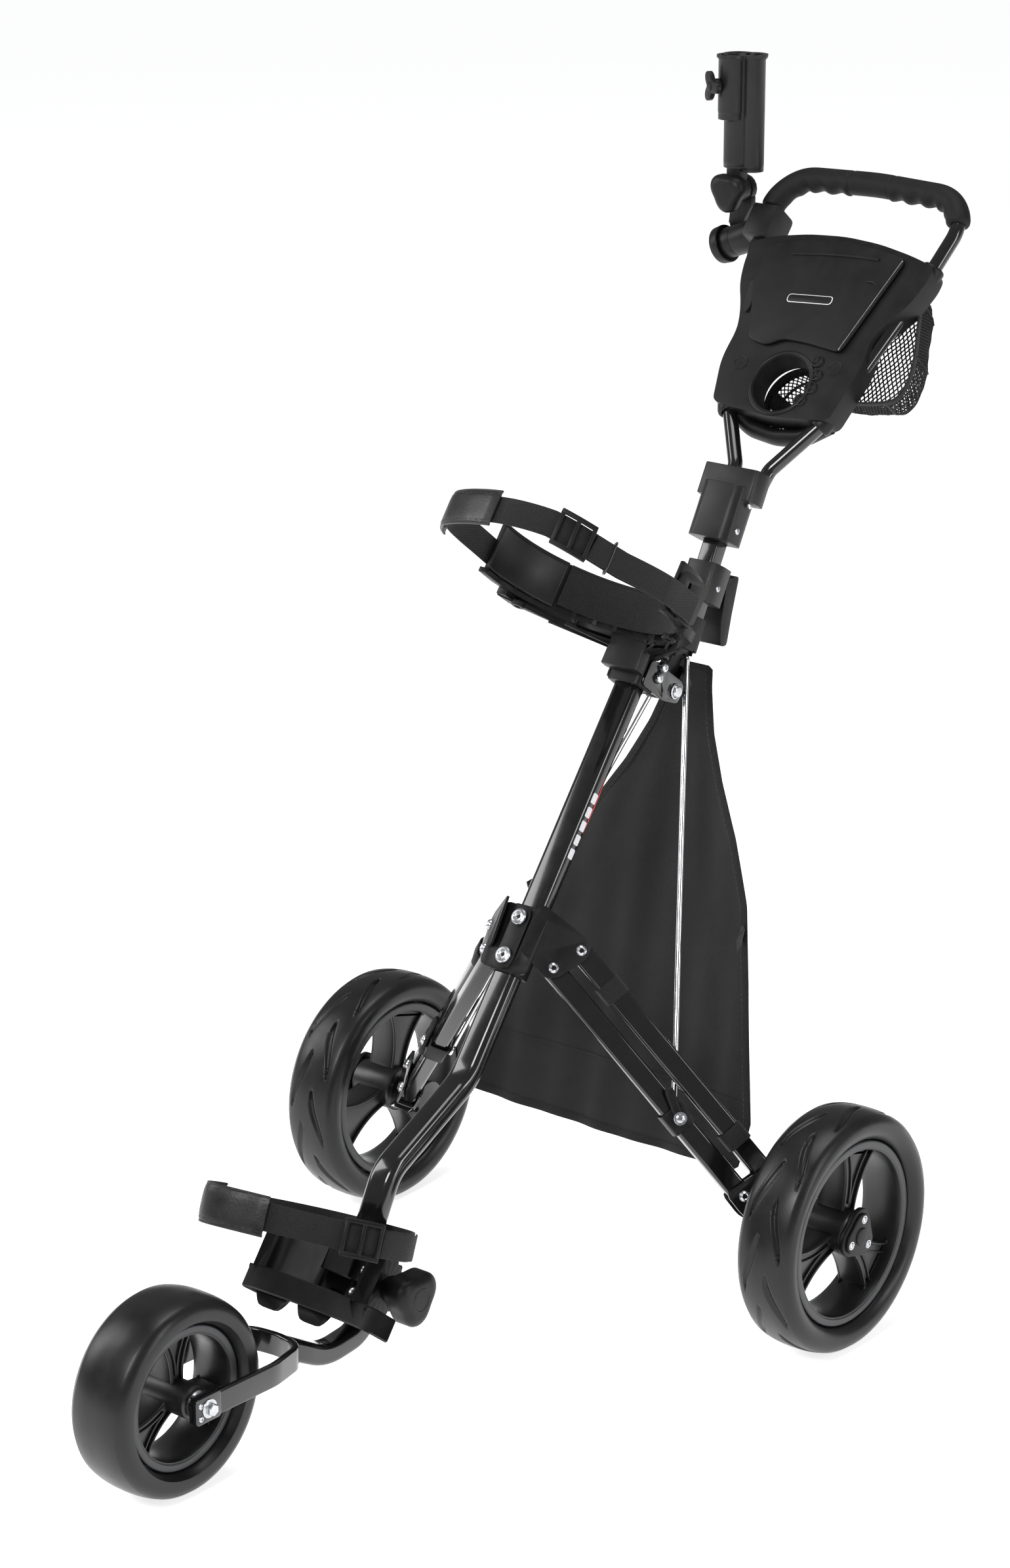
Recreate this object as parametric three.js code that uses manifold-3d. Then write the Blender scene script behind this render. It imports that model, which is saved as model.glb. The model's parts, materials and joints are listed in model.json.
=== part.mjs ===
// Three-wheel push cart for a sports bag: folding aluminium frame, two 254 mm rear wheels,
// one 200 mm front wheel, bag cradles, push handle with a console, umbrella holder and apron.
// Millimetres, +Z up, floor at Z = 0. The front of the cart points to -Y, its right side is +X.
// Everything is laid out in the axle frame (Y = 0 at the rear axle) and moved by ORIGIN_Y at
// the end, so that the origin is at the middle of the footprint.
import * as THREE from "three";
import { mergeVertices } from "three/addons/utils/BufferGeometryUtils.js";
import Module from "manifold-3d";

const wasm = await Module();
wasm.setup();

// ---------- driving dimensions ----------
const ORIGIN_Y = 135.94; // shift of the whole cart along Y
const GAP = 0.35; // clearance between pieces that touch
const REAR_WHEEL_R = 127, REAR_TRACK = 302, REAR_TYRE_W = 66, REAR_RIM_R = 97;
const FRONT_WHEEL_R = 100, FRONT_TYRE_W = 70, FRONT_RIM_R = 72;
const FRONT_AXLE = [0, -657, 100];
const TUBE_W = 30, TUBE_H = 21, TUBE_R = 8; // main tube section
const TUBE_TOP = [0, 37.8, 620.7]; // a point on the main tube's axis, at the collar
const LEG_W = 22, LEG_T = 16; // leg bar section
const PIVOT = [0, 91.7, 618.8]; // handle hinge
const FRONT_PIVOT = [0, -373, 113]; // front arm hinge
const CRADLE_R = 109; // inner radius of the upper bag cradle
const HANDLE_ROOT = [0, 239, 820]; // handle loop's lower end
const ROD_R = 3;

const V = (x, y, z) => (Array.isArray(x) ? new THREE.Vector3(...x) : new THREE.Vector3(x, y, z));
const UT = V(0, 0.6022, 0.7983); // main tube's direction, upwards
const QT = V(0, -0.7983, 0.6022); // out of the main tube's front face
const HD = V(0, 0.6309, 0.7759); // up along the handle loop
const HN = V(0, -0.7759, 0.6309); // out of the console's face

// ---------- shapes ----------
function rr(w, h, r, n = 2) {
  const s = new THREE.Shape(), pts = [];
  r = Math.min(r, w / 2 - 0.01, h / 2 - 0.01);
  for (const [cx, cy, a0] of [[w / 2 - r, h / 2 - r, 0], [-w / 2 + r, h / 2 - r, 90], [-w / 2 + r, -h / 2 + r, 180], [w / 2 - r, -h / 2 + r, 270]])
    for (let i = 0; i <= n; i++) {
      const a = ((a0 + (90 * i) / n) * Math.PI) / 180;
      pts.push(new THREE.Vector2(cx + r * Math.cos(a), cy + r * Math.sin(a)));
    }
  s.setFromPoints(pts);
  return s;
}
const rect = (w, h) => poly([[-w / 2, -h / 2], [w / 2, -h / 2], [w / 2, h / 2], [-w / 2, h / 2]]);
const poly = (pts) => new THREE.Shape(pts.map((p) => new THREE.Vector2(p[0], p[1])));
const disc = (r, n = 14) => poly(Array.from({ length: n }, (_, i) => [r * Math.cos((2 * Math.PI * i) / n), r * Math.sin((2 * Math.PI * i) / n)]));
// outline rounded at its corners
function roundPoly(pts, r, n = 2) {
  const out = [], m = pts.length;
  for (let i = 0; i < m; i++) {
    const p = new THREE.Vector2(...pts[i]), a = new THREE.Vector2(...pts[(i + m - 1) % m]), b = new THREE.Vector2(...pts[(i + 1) % m]);
    const ra = Math.min(r, p.distanceTo(a) / 2.2, p.distanceTo(b) / 2.2);
    const s = p.clone().add(a.clone().sub(p).setLength(ra)), e = p.clone().add(b.clone().sub(p).setLength(ra));
    for (let k = 0; k <= n; k++) {
      const t = k / n;
      out.push([(1 - t) ** 2 * s.x + 2 * t * (1 - t) * p.x + t * t * e.x, (1 - t) ** 2 * s.y + 2 * t * (1 - t) * p.y + t * t * e.y]);
    }
  }
  return poly(out);
}
// corner points of a path, rounded
function fillet(pts, radii, n = 4) {
  const P = pts.map((p) => V(p)), out = [P[0]];
  for (let i = 1; i < P.length - 1; i++) {
    const r = Array.isArray(radii) ? radii[i - 1] : radii;
    const a = P[i - 1].clone().sub(P[i]).normalize(), b = P[i + 1].clone().sub(P[i]).normalize();
    const half = a.angleTo(b) / 2, cut = Math.min(r / Math.tan(half), P[i].distanceTo(P[i - 1]) * 0.49, P[i].distanceTo(P[i + 1]) * 0.49);
    const s = P[i].clone().addScaledVector(a, cut), e = P[i].clone().addScaledVector(b, cut);
    for (let k = 0; k <= n; k++) {
      const t = k / n;
      out.push(s.clone().multiplyScalar((1 - t) ** 2).addScaledVector(P[i], 2 * t * (1 - t)).addScaledVector(e, t * t));
    }
  }
  out.push(P[P.length - 1]);
  return out;
}
// section (a Shape: x along side, y along tangent x side) carried along points
function sweep(points, shape, side, closed = false) {
  const sec = shape.getPoints(1);
  if (sec[0].distanceTo(sec[sec.length - 1]) < 1e-6) sec.pop();
  if (THREE.ShapeUtils.isClockWise(sec)) sec.reverse();
  const n = sec.length, m = points.length, pos = [], idx = [];
  const sideAt = typeof side === "function" ? side : () => side;
  for (let i = 0; i < m; i++) {
    const t = new THREE.Vector3();
    if (closed) t.subVectors(points[(i + 1) % m], points[(i + m - 1) % m]).normalize();
    else {
      if (i > 0) t.add(points[i].clone().sub(points[i - 1]).normalize());
      if (i < m - 1) t.add(points[i + 1].clone().sub(points[i]).normalize());
      t.normalize();
    }
    const x = sideAt(i, t).clone();
    x.addScaledVector(t, -x.dot(t)).normalize();
    const y = new THREE.Vector3().crossVectors(t, x);
    for (const s of sec) {
      const p = points[i].clone().addScaledVector(x, s.x).addScaledVector(y, s.y);
      pos.push(p.x, p.y, p.z);
    }
  }
  for (let i = 0; i < (closed ? m : m - 1); i++)
    for (let j = 0; j < n; j++) {
      const a = i * n + j, b = i * n + ((j + 1) % n), c = ((i + 1) % m) * n + j, d = ((i + 1) % m) * n + ((j + 1) % n);
      idx.push(a, b, d, a, d, c);
    }
  if (!closed)
    for (const [a, b, c] of THREE.ShapeUtils.triangulateShape(sec, [])) {
      idx.push(a, c, b);
      const o = (m - 1) * n;
      idx.push(o + a, o + b, o + c);
    }
  const g = new THREE.BufferGeometry();
  g.setAttribute("position", new THREE.Float32BufferAttribute(pos, 3));
  g.setIndex(idx);
  return g;
}
function frame(o, x, y, z) {
  return new THREE.Matrix4().makeBasis(x, y, z).setPosition(o);
}
// plate: outline in the plane (x, y) at o, from z0 to z1 along the plane's upward (or rearward, or rightward) normal
function plate(shape, o, x, y, z0, z1, bevel = 0) {
  const w = new THREE.Vector3().crossVectors(x, y), e = 1e-6;
  if (w.z < -e || (Math.abs(w.z) <= e && (w.y < -e || (Math.abs(w.y) <= e && w.x < 0)))) [z0, z1] = [-z1, -z0];
  const g = new THREE.ExtrudeGeometry(shape, { depth: z1 - z0 - 2 * bevel, bevelEnabled: bevel > 0, bevelSize: bevel, bevelThickness: bevel, bevelOffset: -bevel, bevelSegments: 1, curveSegments: 6 });
  const z = new THREE.Vector3().crossVectors(x, y);
  g.applyMatrix4(frame(V(o.x, o.y, o.z).addScaledVector(z, z0 + bevel), x, y, z));
  return g;
}
const X = V(1, 0, 0), Y = V(0, 1, 0), Z = V(0, 0, 1);
function basisFor(z) {
  const a = Math.abs(z.x) < 0.8 ? X : Y;
  const x = new THREE.Vector3().crossVectors(a, z).normalize();
  return [x, new THREE.Vector3().crossVectors(z, x)];
}
// solid of revolution about the axis from o along dir: profile of [radius, height]
function turned(profile, o, dir, n = 16) {
  const g = new THREE.LatheGeometry(profile.map((p) => new THREE.Vector2(p[0], p[1])), n);
  const d = dir.clone().normalize(), [a] = basisFor(d);
  g.applyMatrix4(frame(o, a, d, new THREE.Vector3().crossVectors(a, d)));
  return g;
}
const cyl = (o, dir, r, h0, h1, n = 10) => turned([[0, h0], [r, h0], [r, h1], [0, h1]], o, dir, n);
const rod = (a, b, r, n = 12) => cyl(a, b.clone().sub(a), r, 0, a.distanceTo(b), n);
const box = (o, x, y, sx, sy, z0, z1, r = 0.01) => plate(rr(sx, sy, r, r > 0.1 ? 3 : 1), o, x, y, z0, z1);

// ---------- solids ----------
function M(g) {
  g = g.index ? g.toNonIndexed() : g.clone();
  g.deleteAttribute("normal");
  g.deleteAttribute("uv");
  g = mergeVertices(g, 1e-3);
  // faces that collapsed to a line are left out
  const src = g.index.array, keep = [];
  for (let i = 0; i < src.length; i += 3) if (src[i] !== src[i + 1] && src[i + 1] !== src[i + 2] && src[i] !== src[i + 2]) keep.push(src[i], src[i + 1], src[i + 2]);
  let s = new wasm.Manifold(new wasm.Mesh({ numProp: 3, vertProperties: g.attributes.position.array, triVerts: new Uint32Array(keep) }));
  if (s.volume() < 0) {
    for (let i = 0; i < keep.length; i += 3) [keep[i + 1], keep[i + 2]] = [keep[i + 2], keep[i + 1]];
    s = new wasm.Manifold(new wasm.Mesh({ numProp: 3, vertProperties: g.attributes.position.array, triVerts: new Uint32Array(keep) }));
  }
  return s;
}
const join = (...g) => g.map((q) => (q.isBufferGeometry ? M(q) : q)).reduce((a, b) => a.add(b));
const cut = (a, ...g) => g.map((q) => (q.isBufferGeometry ? M(q) : q)).reduce((s, b) => s.subtract(b), a.isBufferGeometry ? M(a) : a);
function geo(s) {
  const m = s.getMesh(), n = m.numProp, v = new Float32Array(m.numVert * 3);
  for (let i = 0; i < m.numVert; i++) v.set(m.vertProperties.subarray(i * n, i * n + 3), i * 3);
  const g = new THREE.BufferGeometry();
  g.setAttribute("position", new THREE.BufferAttribute(v, 3));
  g.setIndex(new THREE.BufferAttribute(new Uint32Array(m.triVerts), 1));
  g.computeVertexNormals();
  return g;
}

const group = new THREE.Group();
const mats = {
  gloss: [0x0b0b0c, 0.15, 0.0], plastic: [0x1c1d1f, 0.5, 0.0], satin: [0x2b2c2f, 0.45, 0.0], tyre: [0x1a1a1b, 0.7, 0.0],
  rim: [0x45464a, 0.5, 0.1], chrome: [0xd8d8da, 0.1, 1.0], zinc: [0xb9bcc0, 0.3, 1.0], fabric: [0x222225, 0.95, 0.0],
  webbing: [0x19191a, 0.95, 0.0], leather: [0x101011, 0.45, 0.0], foam: [0x131314, 0.9, 0.0],
};
function put(name, solid, mat) {
  const g = solid.isBufferGeometry ? geo(M(solid)) : geo(solid);
  const [color, roughness, metalness] = mats[mat];
  const m = new THREE.Mesh(g, new THREE.MeshStandardMaterial({ color, roughness, metalness }));
  m.name = name;
  group.add(m);
  return m;
}
const mirror = (s) => (s.isBufferGeometry ? M(s) : s).mirror([1, 0, 0]);

// ---------- main tube ----------
const tubePts = fillet([[0, 50, 636.9], [0, -220, 279], [0, -339, 219], [0, -370, 160]], [75, 45], 5);
put("main_tube", sweep(tubePts, rr(TUBE_W, TUBE_H, TUBE_R, 3), X), "gloss");
const onTube = (s, q = 0, x = 0) => V(TUBE_TOP).addScaledVector(UT, s).addScaledVector(QT, q).add(V(x, 0, 0));

// ---------- collar and handle hinge ----------
// closed cap over the tube's end; its seat for the bag cradle is flat
const collar = cut(
  box(onTube(12, 0), X, QT, 42, 31, 0, 31.4, 6),
  box(onTube(0, 0), X, QT, TUBE_W + 2 * GAP, TUBE_H + 2 * GAP, -10, 20.9, TUBE_R),
);
put("top_collar", collar, "plastic");
// two cheeks and a floor, bolted to the collar's sides, reaching back to the hinge
const pS = 30.9, pQ = -44.2; // hinge position along the tube and behind it
const cheek = (x) => {
  const out = [[-10, -6], [26, -4]];
  return plate(roundPoly([[14, 12], [43, 12], [43, -18], [pS + 13, pQ - 4], [pS + 9, pQ - 12], [pS - 9, pQ - 12], [14, -30]], 5), onTube(0, 0, x), UT, QT, 0, 2.6);
};
const hingeChannel = cut(
  join(cheek(21.5), mirror(M(cheek(21.5))).translate([0, 0, 0]), box(onTube(20, -24.5), X, QT, 48.2, 3, -3, 3)),
  cyl(V(PIVOT), X, 4.4, -40, 40),
);
put("hinge_channel", join(hingeChannel, ...[1, -1].flatMap((k) => [[0, 68.5, 649.8], [0, 60.2, 640.4]].map(([, y, z]) => turned([[0, 0], [6.2, 0], [6.2, 3], [4, 4.6], [0, 4.6]], V(k * 23.9, y, z), V(k, 0, 0), 10)))), "gloss");
put("hinge_bolt", join(cyl(V(PIVOT), X, 4, -29, 29, 14), ...[1, -1].map((k) => turned([[0, 0], [7, 0], [7, 3.5], [4.5, 5], [0, 5]], V(k * 24.6, PIVOT[1], PIVOT[2]), V(k, 0, 0), 12))), "zinc");

// ---------- upper bag cradle ----------
// plane across the tube: x to the side, f forwards and up, wall height along the tube
const CO = onTube(60, 25);
const cr = (x, f, u = 0) => CO.clone().add(V(x, 0, 0)).addScaledVector(QT, f).addScaledVector(UT, u);
const ARC_F = 115; // middle of the cradle's arc
const arc = (r, a0, a1, n, fc = ARC_F) => Array.from({ length: n + 1 }, (_, i) => {
  const a = ((a0 + ((a1 - a0) * i) / n) * Math.PI) / 180;
  return [r * Math.sin(a), fc - r * Math.cos(a)];
});
const band = (r0, r1, a0, a1, n) => poly([...arc(r1, a0, a1, n), ...arc(r0, a0, a1, n).reverse()]);
const crPlate = (shape, u0, u1) => plate(shape, cr(0, 0, 0), X, QT, u0, u1);
const webOut = [[-120, 84], [-118, 64], [-24, -22], [24, -22], [118, 64], [120, 84]];
const cradle = join(
  crPlate(band(CRADLE_R + 2.9, CRADLE_R + 6, -94, 94, 16), -4, 46),
  crPlate(band(CRADLE_R + 2.9, CRADLE_R + 11, -96, 96, 16), -9, -3.8),
  crPlate(poly([...webOut, ...arc(CRADLE_R + 4, -60, 60, 14).reverse()]), -16, -12),
  crPlate(poly([...webOut, [116, 84], [114, 66], [22, -18], [-22, -18], [-114, 66], [-116, 84]]), -15, -4.6),
  crPlate(poly([[-2, -20], [2, -20], [2, 3], [-2, 3]]), -15, -4.6),
  crPlate(poly([[-62, 13], [-58, 13], [-58, 22], [-62, 22]]), -15, -4.6),
  crPlate(poly([[58, 13], [62, 13], [62, 22], [58, 22]]), -15, -4.6),
  crPlate(poly([[-120, 74], [-108, 68], [-108, 86], [-120, 86]]), -15, -3.6),
  crPlate(poly([[108, 68], [120, 74], [120, 86], [108, 86]]), -15, -3.6),
  crPlate(roundPoly([[-24, -41], [24, -41], [24, 8], [-24, 8]], 5), -7.6, -4.2),
  crPlate(roundPoly([[-24, -8.9], [24, -8.9], [24, 6], [-24, 6]], 4), -38, -6),
  cut(plate(roundPoly([[84, -6], [126, -6], [134, 14], [126, 38], [84, 38]], 6), cr(122.4, 0, 0), QT, UT, 0, 4), plate(roundPoly([[112, 0], [117, 0], [117, 29], [112, 29]], 1), cr(122.4, 0, 0), QT, UT, -3, 9)),
  crPlate(poly([[111, 78], [122.6, 84], [122.6, 108], [113, 108]]), -8, 6),
);
put("upper_cradle", cradle, "plastic");
put("cradle_pad", crPlate(band(CRADLE_R - 2.2, CRADLE_R + 1.8, -98, -48, 8), -3, 44), "satin");
put("cradle_lining", crPlate(band(CRADLE_R - 0.4, CRADLE_R + 1.8, -46, 84, 12), 2, 44), "webbing");

// strap loop across the front of the bag space, one closed band in three pieces
const strapPts = [[-117.5, 128], [-118, 152], [-117, 178], [-111, 206], [-97, 229], [-74, 244], [-45, 254], [-14, 258], [12, 255], [38, 247], [62, 233], [84, 212], [102, 192], [118, 170], [127, 146], [128.4, 118], [128.2, 96]];
const strapCurve = new THREE.CatmullRomCurve3(strapPts.map(([x, f]) => V(x, f, 0)), false, "centripetal");
const strapAt = (t) => { const p = strapCurve.getPointAt(t); return cr(p.x, p.y, 15 - 8 * Math.min(1, Math.max(0, (p.x - 40) / 60))); };
const strapSpan = (a, b, n) => Array.from({ length: n + 1 }, (_, i) => strapAt(a + ((b - a) * i) / n));
put("upper_strap", join(sweep(strapSpan(0.0, 0.17, 5), rect(28, 2), UT), sweep(strapSpan(0.16, 0.55, 9), rect(28, 2), UT), sweep(strapSpan(0.54, 1, 11), rect(28, 2), UT)), "webbing");
put("upper_strap_pad", sweep(strapSpan(0.20, 0.46, 8).map((p, i, a) => p.clone().addScaledVector(outOf(a, i), 4)), rr(36, 4.2, 1.5, 1), UT), "leather");
function outOf(a, i) {
  const t = a[Math.min(i + 1, a.length - 1)].clone().sub(a[Math.max(i - 1, 0)]).normalize();
  return new THREE.Vector3().crossVectors(t, UT).normalize();
}
const bucklePts = strapSpan(0.60, 0.69, 3);
put("upper_buckle", sweep(bucklePts.map((p, i, a) => p.clone().addScaledVector(outOf(a, i), 4.3)), rr(36, 5, 2, 1), UT), "plastic");

// ---------- mid bracket ----------
const B = V(45.4, -133.5, 384.6), D = V(229.3, -52.6, 158.5), A = V(59.8, -106.7, 398.9), C = A.clone().add(D).sub(B);
const ND = D.clone().sub(B).normalize();
const NN = V(0.718, -0.586, 0.375).addScaledVector(ND, -V(0.718, -0.586, 0.375).dot(ND)).normalize();
const NM = new THREE.Vector3().crossVectors(NN, ND).normalize(); // rear-up across the legs
const inLeg = (p, d, m, n = 0) => p.clone().addScaledVector(ND, d).addScaledVector(NM, m).addScaledVector(NN, n);
// plates in the leg plane: outline of [along the leg, across the leg], from n0 to n1 outwards
const legPlate = (shape, p, n0, n1) => plate(shape, p, ND, NM, n0, n1);
const AB = A.clone().sub(B), ABd = AB.dot(ND), ABm = AB.dot(NM);
const stud = (p, headFront = true) => join(cyl(p, NN, 3.6, -21.5, -1, 8), turned([[0, 0], [5.6, 0], [4, 3.4], [0, 3.4]], p.clone().addScaledVector(NN, -0.2), NN, 8), cyl(p, NN, 5.5, -22.2, -19.6, 8));
const wing = legPlate(roundPoly([[-36, -14], [4, -13], [11, -2], [12, 8], [16, 30], [10, 44], [-4, 45], [-56, 34]], 5), B, -2.6, 0);
let midB = cut(
  join(
    box(onTube(-277, 0), X, QT, 36.6, 27.4, -36, 36, 7),
    plate(roundPoly([[-30, -35], [30, -35], [30, 35], [-30, 35]], 8), onTube(-277, 11), X, UT, 0, 3),
    plate(roundPoly([[-11, -34], [11, -34], [11, 34], [-11, 34]], 10), onTube(-277, 11), X, UT, 0, 6.5),
    wing, mirror(M(wing)),
    stud(A), stud(B), mirror(M(geo(stud(A)))), mirror(M(geo(stud(B)))),
    ...[-256, -297.8].map((s) => turned([[0, 0], [9, 0], [8, 3], [4, 4.5], [0, 4.5]], onTube(s, 17), QT, 14)),
  ),
  box(onTube(-277, 0), X, QT, TUBE_W + 2 * GAP, TUBE_H + 2 * GAP, -60, 60, TUBE_R),
);
put("mid_bracket", midB, "plastic");

// ---------- legs ----------
const LEN = B.distanceTo(D);
const LEG_N = -11; // legs' middle plane behind the plates' front face
function legBar(p) {
  const out = [[-11, -9], [-7, -11], [LEN + 7, -11], [LEN + 11, -9], [LEN + 11, 9], [LEN + 7, 11], [-7, 11], [-11, 9]];
  return cut(legPlate(roundPoly(out, 1.2, 2), p, LEG_N - LEG_T / 2, LEG_N + LEG_T / 2), cyl(p, NN, 4.3, -40, 10, 10), cyl(inLeg(p, LEN, 0), NN, 4.3, -40, 10, 10));
}
const legLow = legBar(B), legUp = legBar(A);
put("lower_leg_right", legLow, "gloss");
put("lower_leg_left", mirror(legLow), "gloss");
put("upper_leg_right", legUp, "gloss");
put("upper_leg_left", mirror(legUp), "gloss");

// ---------- rod anchors on the lower legs ----------
const ANCHOR_D = 199; // along the lower leg from its upper pin
const anchorAt = inLeg(B, ANCHOR_D, 0);
// a bracket round the leg, open towards the upper leg, with a sleeve that leans over the leg's front
const sleeveEnd = (a, b) => [-0.947 * a + 0.323 * b, 0.323 * a + 0.947 * b];
const anchor = cut(
  join(
    legPlate(roundPoly([[-13, -13.5], [13, -13.5], [13, 11.3], [-13, 11.3]], 2), anchorAt, LEG_N - 10.8, LEG_N + 11),
    legPlate(roundPoly([sleeveEnd(-7, -5.8), sleeveEnd(32, -4.4), sleeveEnd(32, 4.4), sleeveEnd(-7, 5.8)], 3), anchorAt, -0.8, 6.4),
    cyl(anchorAt, NN, 5, -1, 8.4, 12),
  ),
  legPlate(roundPoly([[-20, -11 - GAP], [20, -11 - GAP], [20, 16], [-20, 16]], 0.01), anchorAt, LEG_N - 8.4, LEG_N + 8.4),
);
put("rod_anchor_right", anchor, "gloss");
put("rod_anchor_left", mirror(anchor), "gloss");

// ---------- chrome link rods, behind the legs ----------
const U = V(9.5, 130.3, 643.6); // upper end beside the stem lug
const ROD_N = -26.2; // the rod's lower end, behind the leg
const anchorP = inLeg(B, ANCHOR_D, 0, ROD_N);
const rodDir = U.clone().sub(anchorP).normalize();
const rodR = join(rod(anchorP.clone().addScaledVector(rodDir, -4), U, ROD_R, 12), cyl(anchorP, NN, 5.5, -3, 3, 12));
put("link_rod_right", rodR, "chrome");
put("link_rod_left", mirror(rodR), "chrome");

// ---------- axle brackets, axles, rear wheels ----------
const WC = V(REAR_TRACK, 0, REAR_WHEEL_R);
const brOut = [[-14, -13], [14, -14], [40, -2], [62, 16], [64, 40], [36, 52], [12, 50], [-8, 46]];
const bracket = cut(
  join(
    legPlate(roundPoly(brOut, 6), D, -2.6, 0),
    legPlate(roundPoly([[14, -12], [40, -2], [62, 16], [64, 40], [36, 50], [20, 48], [19, 20], [14, 14]], 3), D, -22.4, -1),
    legPlate(roundPoly(brOut, 6), D, -22.6, -20),
    stud(D), stud(C),
  ),
  box(V(0, 0, REAR_WHEEL_R), Y, Z, 400, 400, 262, 400),
).add(M(cyl(V(240, 0, REAR_WHEEL_R), X, 14, -6, 35.4, 18))).add(M(cyl(V(240, 0, REAR_WHEEL_R), X, 19, -6, 8, 18)));
const bracketC = cut(bracket, cyl(V(240, 0, REAR_WHEEL_R), X, 6.4, -2.4, 60, 14));
put("axle_bracket_right", bracketC, "gloss");
put("axle_bracket_left", mirror(bracketC), "gloss");
const axle = cyl(V(0, 0, REAR_WHEEL_R), X, 6, 238, 328.2, 14);
put("rear_axle_right", axle, "zinc");
put("rear_axle_left", mirror(axle), "zinc");

const wheelShape = (s) => new THREE.Shape(s);
// tyre: closed section in [radius, half width]
function tyre(R, w, rimR, c, n) {
  const h = w / 2;
  const prof = [[rimR + 1, -h * 0.7], [R - 22, -h * 0.96], [R - 10, -h], [R - 2, -h * 0.6], [R, 0], [R - 2, h * 0.6], [R - 10, h], [R - 22, h * 0.96], [rimR + 1, h * 0.7]];
  prof.push(prof[0]);
  return turned(prof, c, X, n);
}
// rim: hub, barrel and three forked spokes
function rim(R, w, hubR, hubW, c, bore, n, a0) {
  const h = w / 2;
  const ring = turned([[R - 9, -h + 3], [R - 3, -h], [R, -h], [R, h], [R - 3, h], [R - 9, h - 3], [R - 12, 0], [R - 9, -h + 3]], c, X, n);
  const parts = [ring, turned([[0, -hubW / 2], [hubR, -hubW / 2], [hubR, hubW / 2], [0, hubW / 2]], c, X, 16)];
  for (let k = 0; k < 3; k++) {
    for (const s of [-1, 1]) {
      const th = ((a0 + k * 120) * Math.PI) / 180, sp = (s * 17 * Math.PI) / 180;
      const p0 = V(0, (hubR - 5) * Math.cos(th), (hubR - 5) * Math.sin(th)), p1 = V(0, (R - 7) * Math.cos(th + sp), (R - 7) * Math.sin(th + sp));
      const dir = p1.clone().sub(p0).normalize();
      const side = new THREE.Vector3().crossVectors(X, dir);
      parts.push(sweep([p0.clone().add(c), p1.clone().add(c)], rect(9, w * 0.62), side));
    }
  }
  return cut(join(...parts), cyl(c, X, bore, -hubW, hubW, 16));
}
const rimR = rim(REAR_RIM_R, 50, 24, 52, WC, 6.4, 22, 75);
put("rear_rim_right", rimR, "rim");
put("rear_rim_left", mirror(rimR), "rim");
const tyreR = M(tyre(REAR_WHEEL_R, REAR_TYRE_W, REAR_RIM_R, WC, 24));
put("rear_tyre_right", tyreR, "tyre");
put("rear_tyre_left", mirror(tyreR), "tyre");
// rounded-triangular hub cap over the axle's end
const triCap = (r) => Array.from({ length: 20 }, (_, i) => { const a = (i / 20) * 2 * Math.PI; const q = r * (1 + 0.14 * Math.cos(3 * (a - 1.3))); return [q * Math.cos(a), q * Math.sin(a)]; });
const cap = cut(plate(poly(triCap(25)), V(WC.x + 26.4, 0, REAR_WHEEL_R), Y, Z, 0, 11, 2), cyl(V(WC.x, 0, REAR_WHEEL_R), X, 6.6, 20, 28.6, 14));
put("hub_cap_right", cap, "plastic");
put("hub_cap_left", mirror(cap), "plastic");

// ---------- front wheel, fork and arm ----------
const FC = V(FRONT_AXLE);
put("front_rim", rim(FRONT_RIM_R, 50, 17, 76, FC, 5.4, 20, 90), "rim");
put("front_tyre", tyre(FRONT_WHEEL_R, FRONT_TYRE_W, FRONT_RIM_R, FC, 22), "tyre");
// forked flat bar, a rounded U seen from above
const forkPath = fillet([[50, -672, 99], [50, -560, 97], [34, -508, 92], [0, -500, 90], [-34, -508, 92], [-50, -560, 97], [-50, -672, 99]], [60, 40, 40, 40, 60], 3);
const fork = cut(
  join(sweep(forkPath, rr(24, 7, 2, 1), () => Z),
    ...[1, -1].map((k) => box(V(k * 50, -657, 99.5), Y, Z, 34, 27, -5.2, 5.2, 3))),
  cyl(FC, X, 5.3, -80, 80, 16),
);
put("front_fork", fork, "gloss");
put("front_axle", join(cyl(FC, X, 5, -63, 63, 14), ...[1, -1].flatMap((k) => [turned([[0, 0], [9, 0], [9, 2], [6, 8], [0, 8]], V(k * 55.6, FC.y, FC.z), V(k, 0, 0), 14), turned([[0, 0], [13, 0], [11, 5.6], [0, 5.6]], V(k * 38.6, FC.y, FC.z), V(k, 0, 0), 16)])), "zinc");
const armPts = fillet([[0, -373, 113], [0, -378, 62], [0, -440, 56], [0, -495.4, 86]], [34, 70], 5);
const armSolid = cut(
  join(sweep(armPts, rr(24, 22, 5, 2), X), cyl(V(FRONT_PIVOT), X, 17, -14, 14, 24)),
  cyl(V(FRONT_PIVOT), X, 5.4, -40, 40, 16),
);
// the arm's crown is shaped to the fork
put("front_arm", cut(armSolid, sweep(forkPath, rr(24.7, 7.7, 2, 2), () => Z)), "gloss");

// ---------- lower bag base ----------
// lower end of the tube in a moulded base: two walls beside the arm's hinge and a tray with a curved lip
const wallIn = (x0, x1) => plate(roundPoly([[-6, -676], [2, -684], [64, -684], [64, -650], [44, -634], [0, -634], [-6, -646]].map(([q, t]) => [t, q]), 6), onTube(0, 0, x0), UT, QT, 0, x1 - x0);
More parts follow.
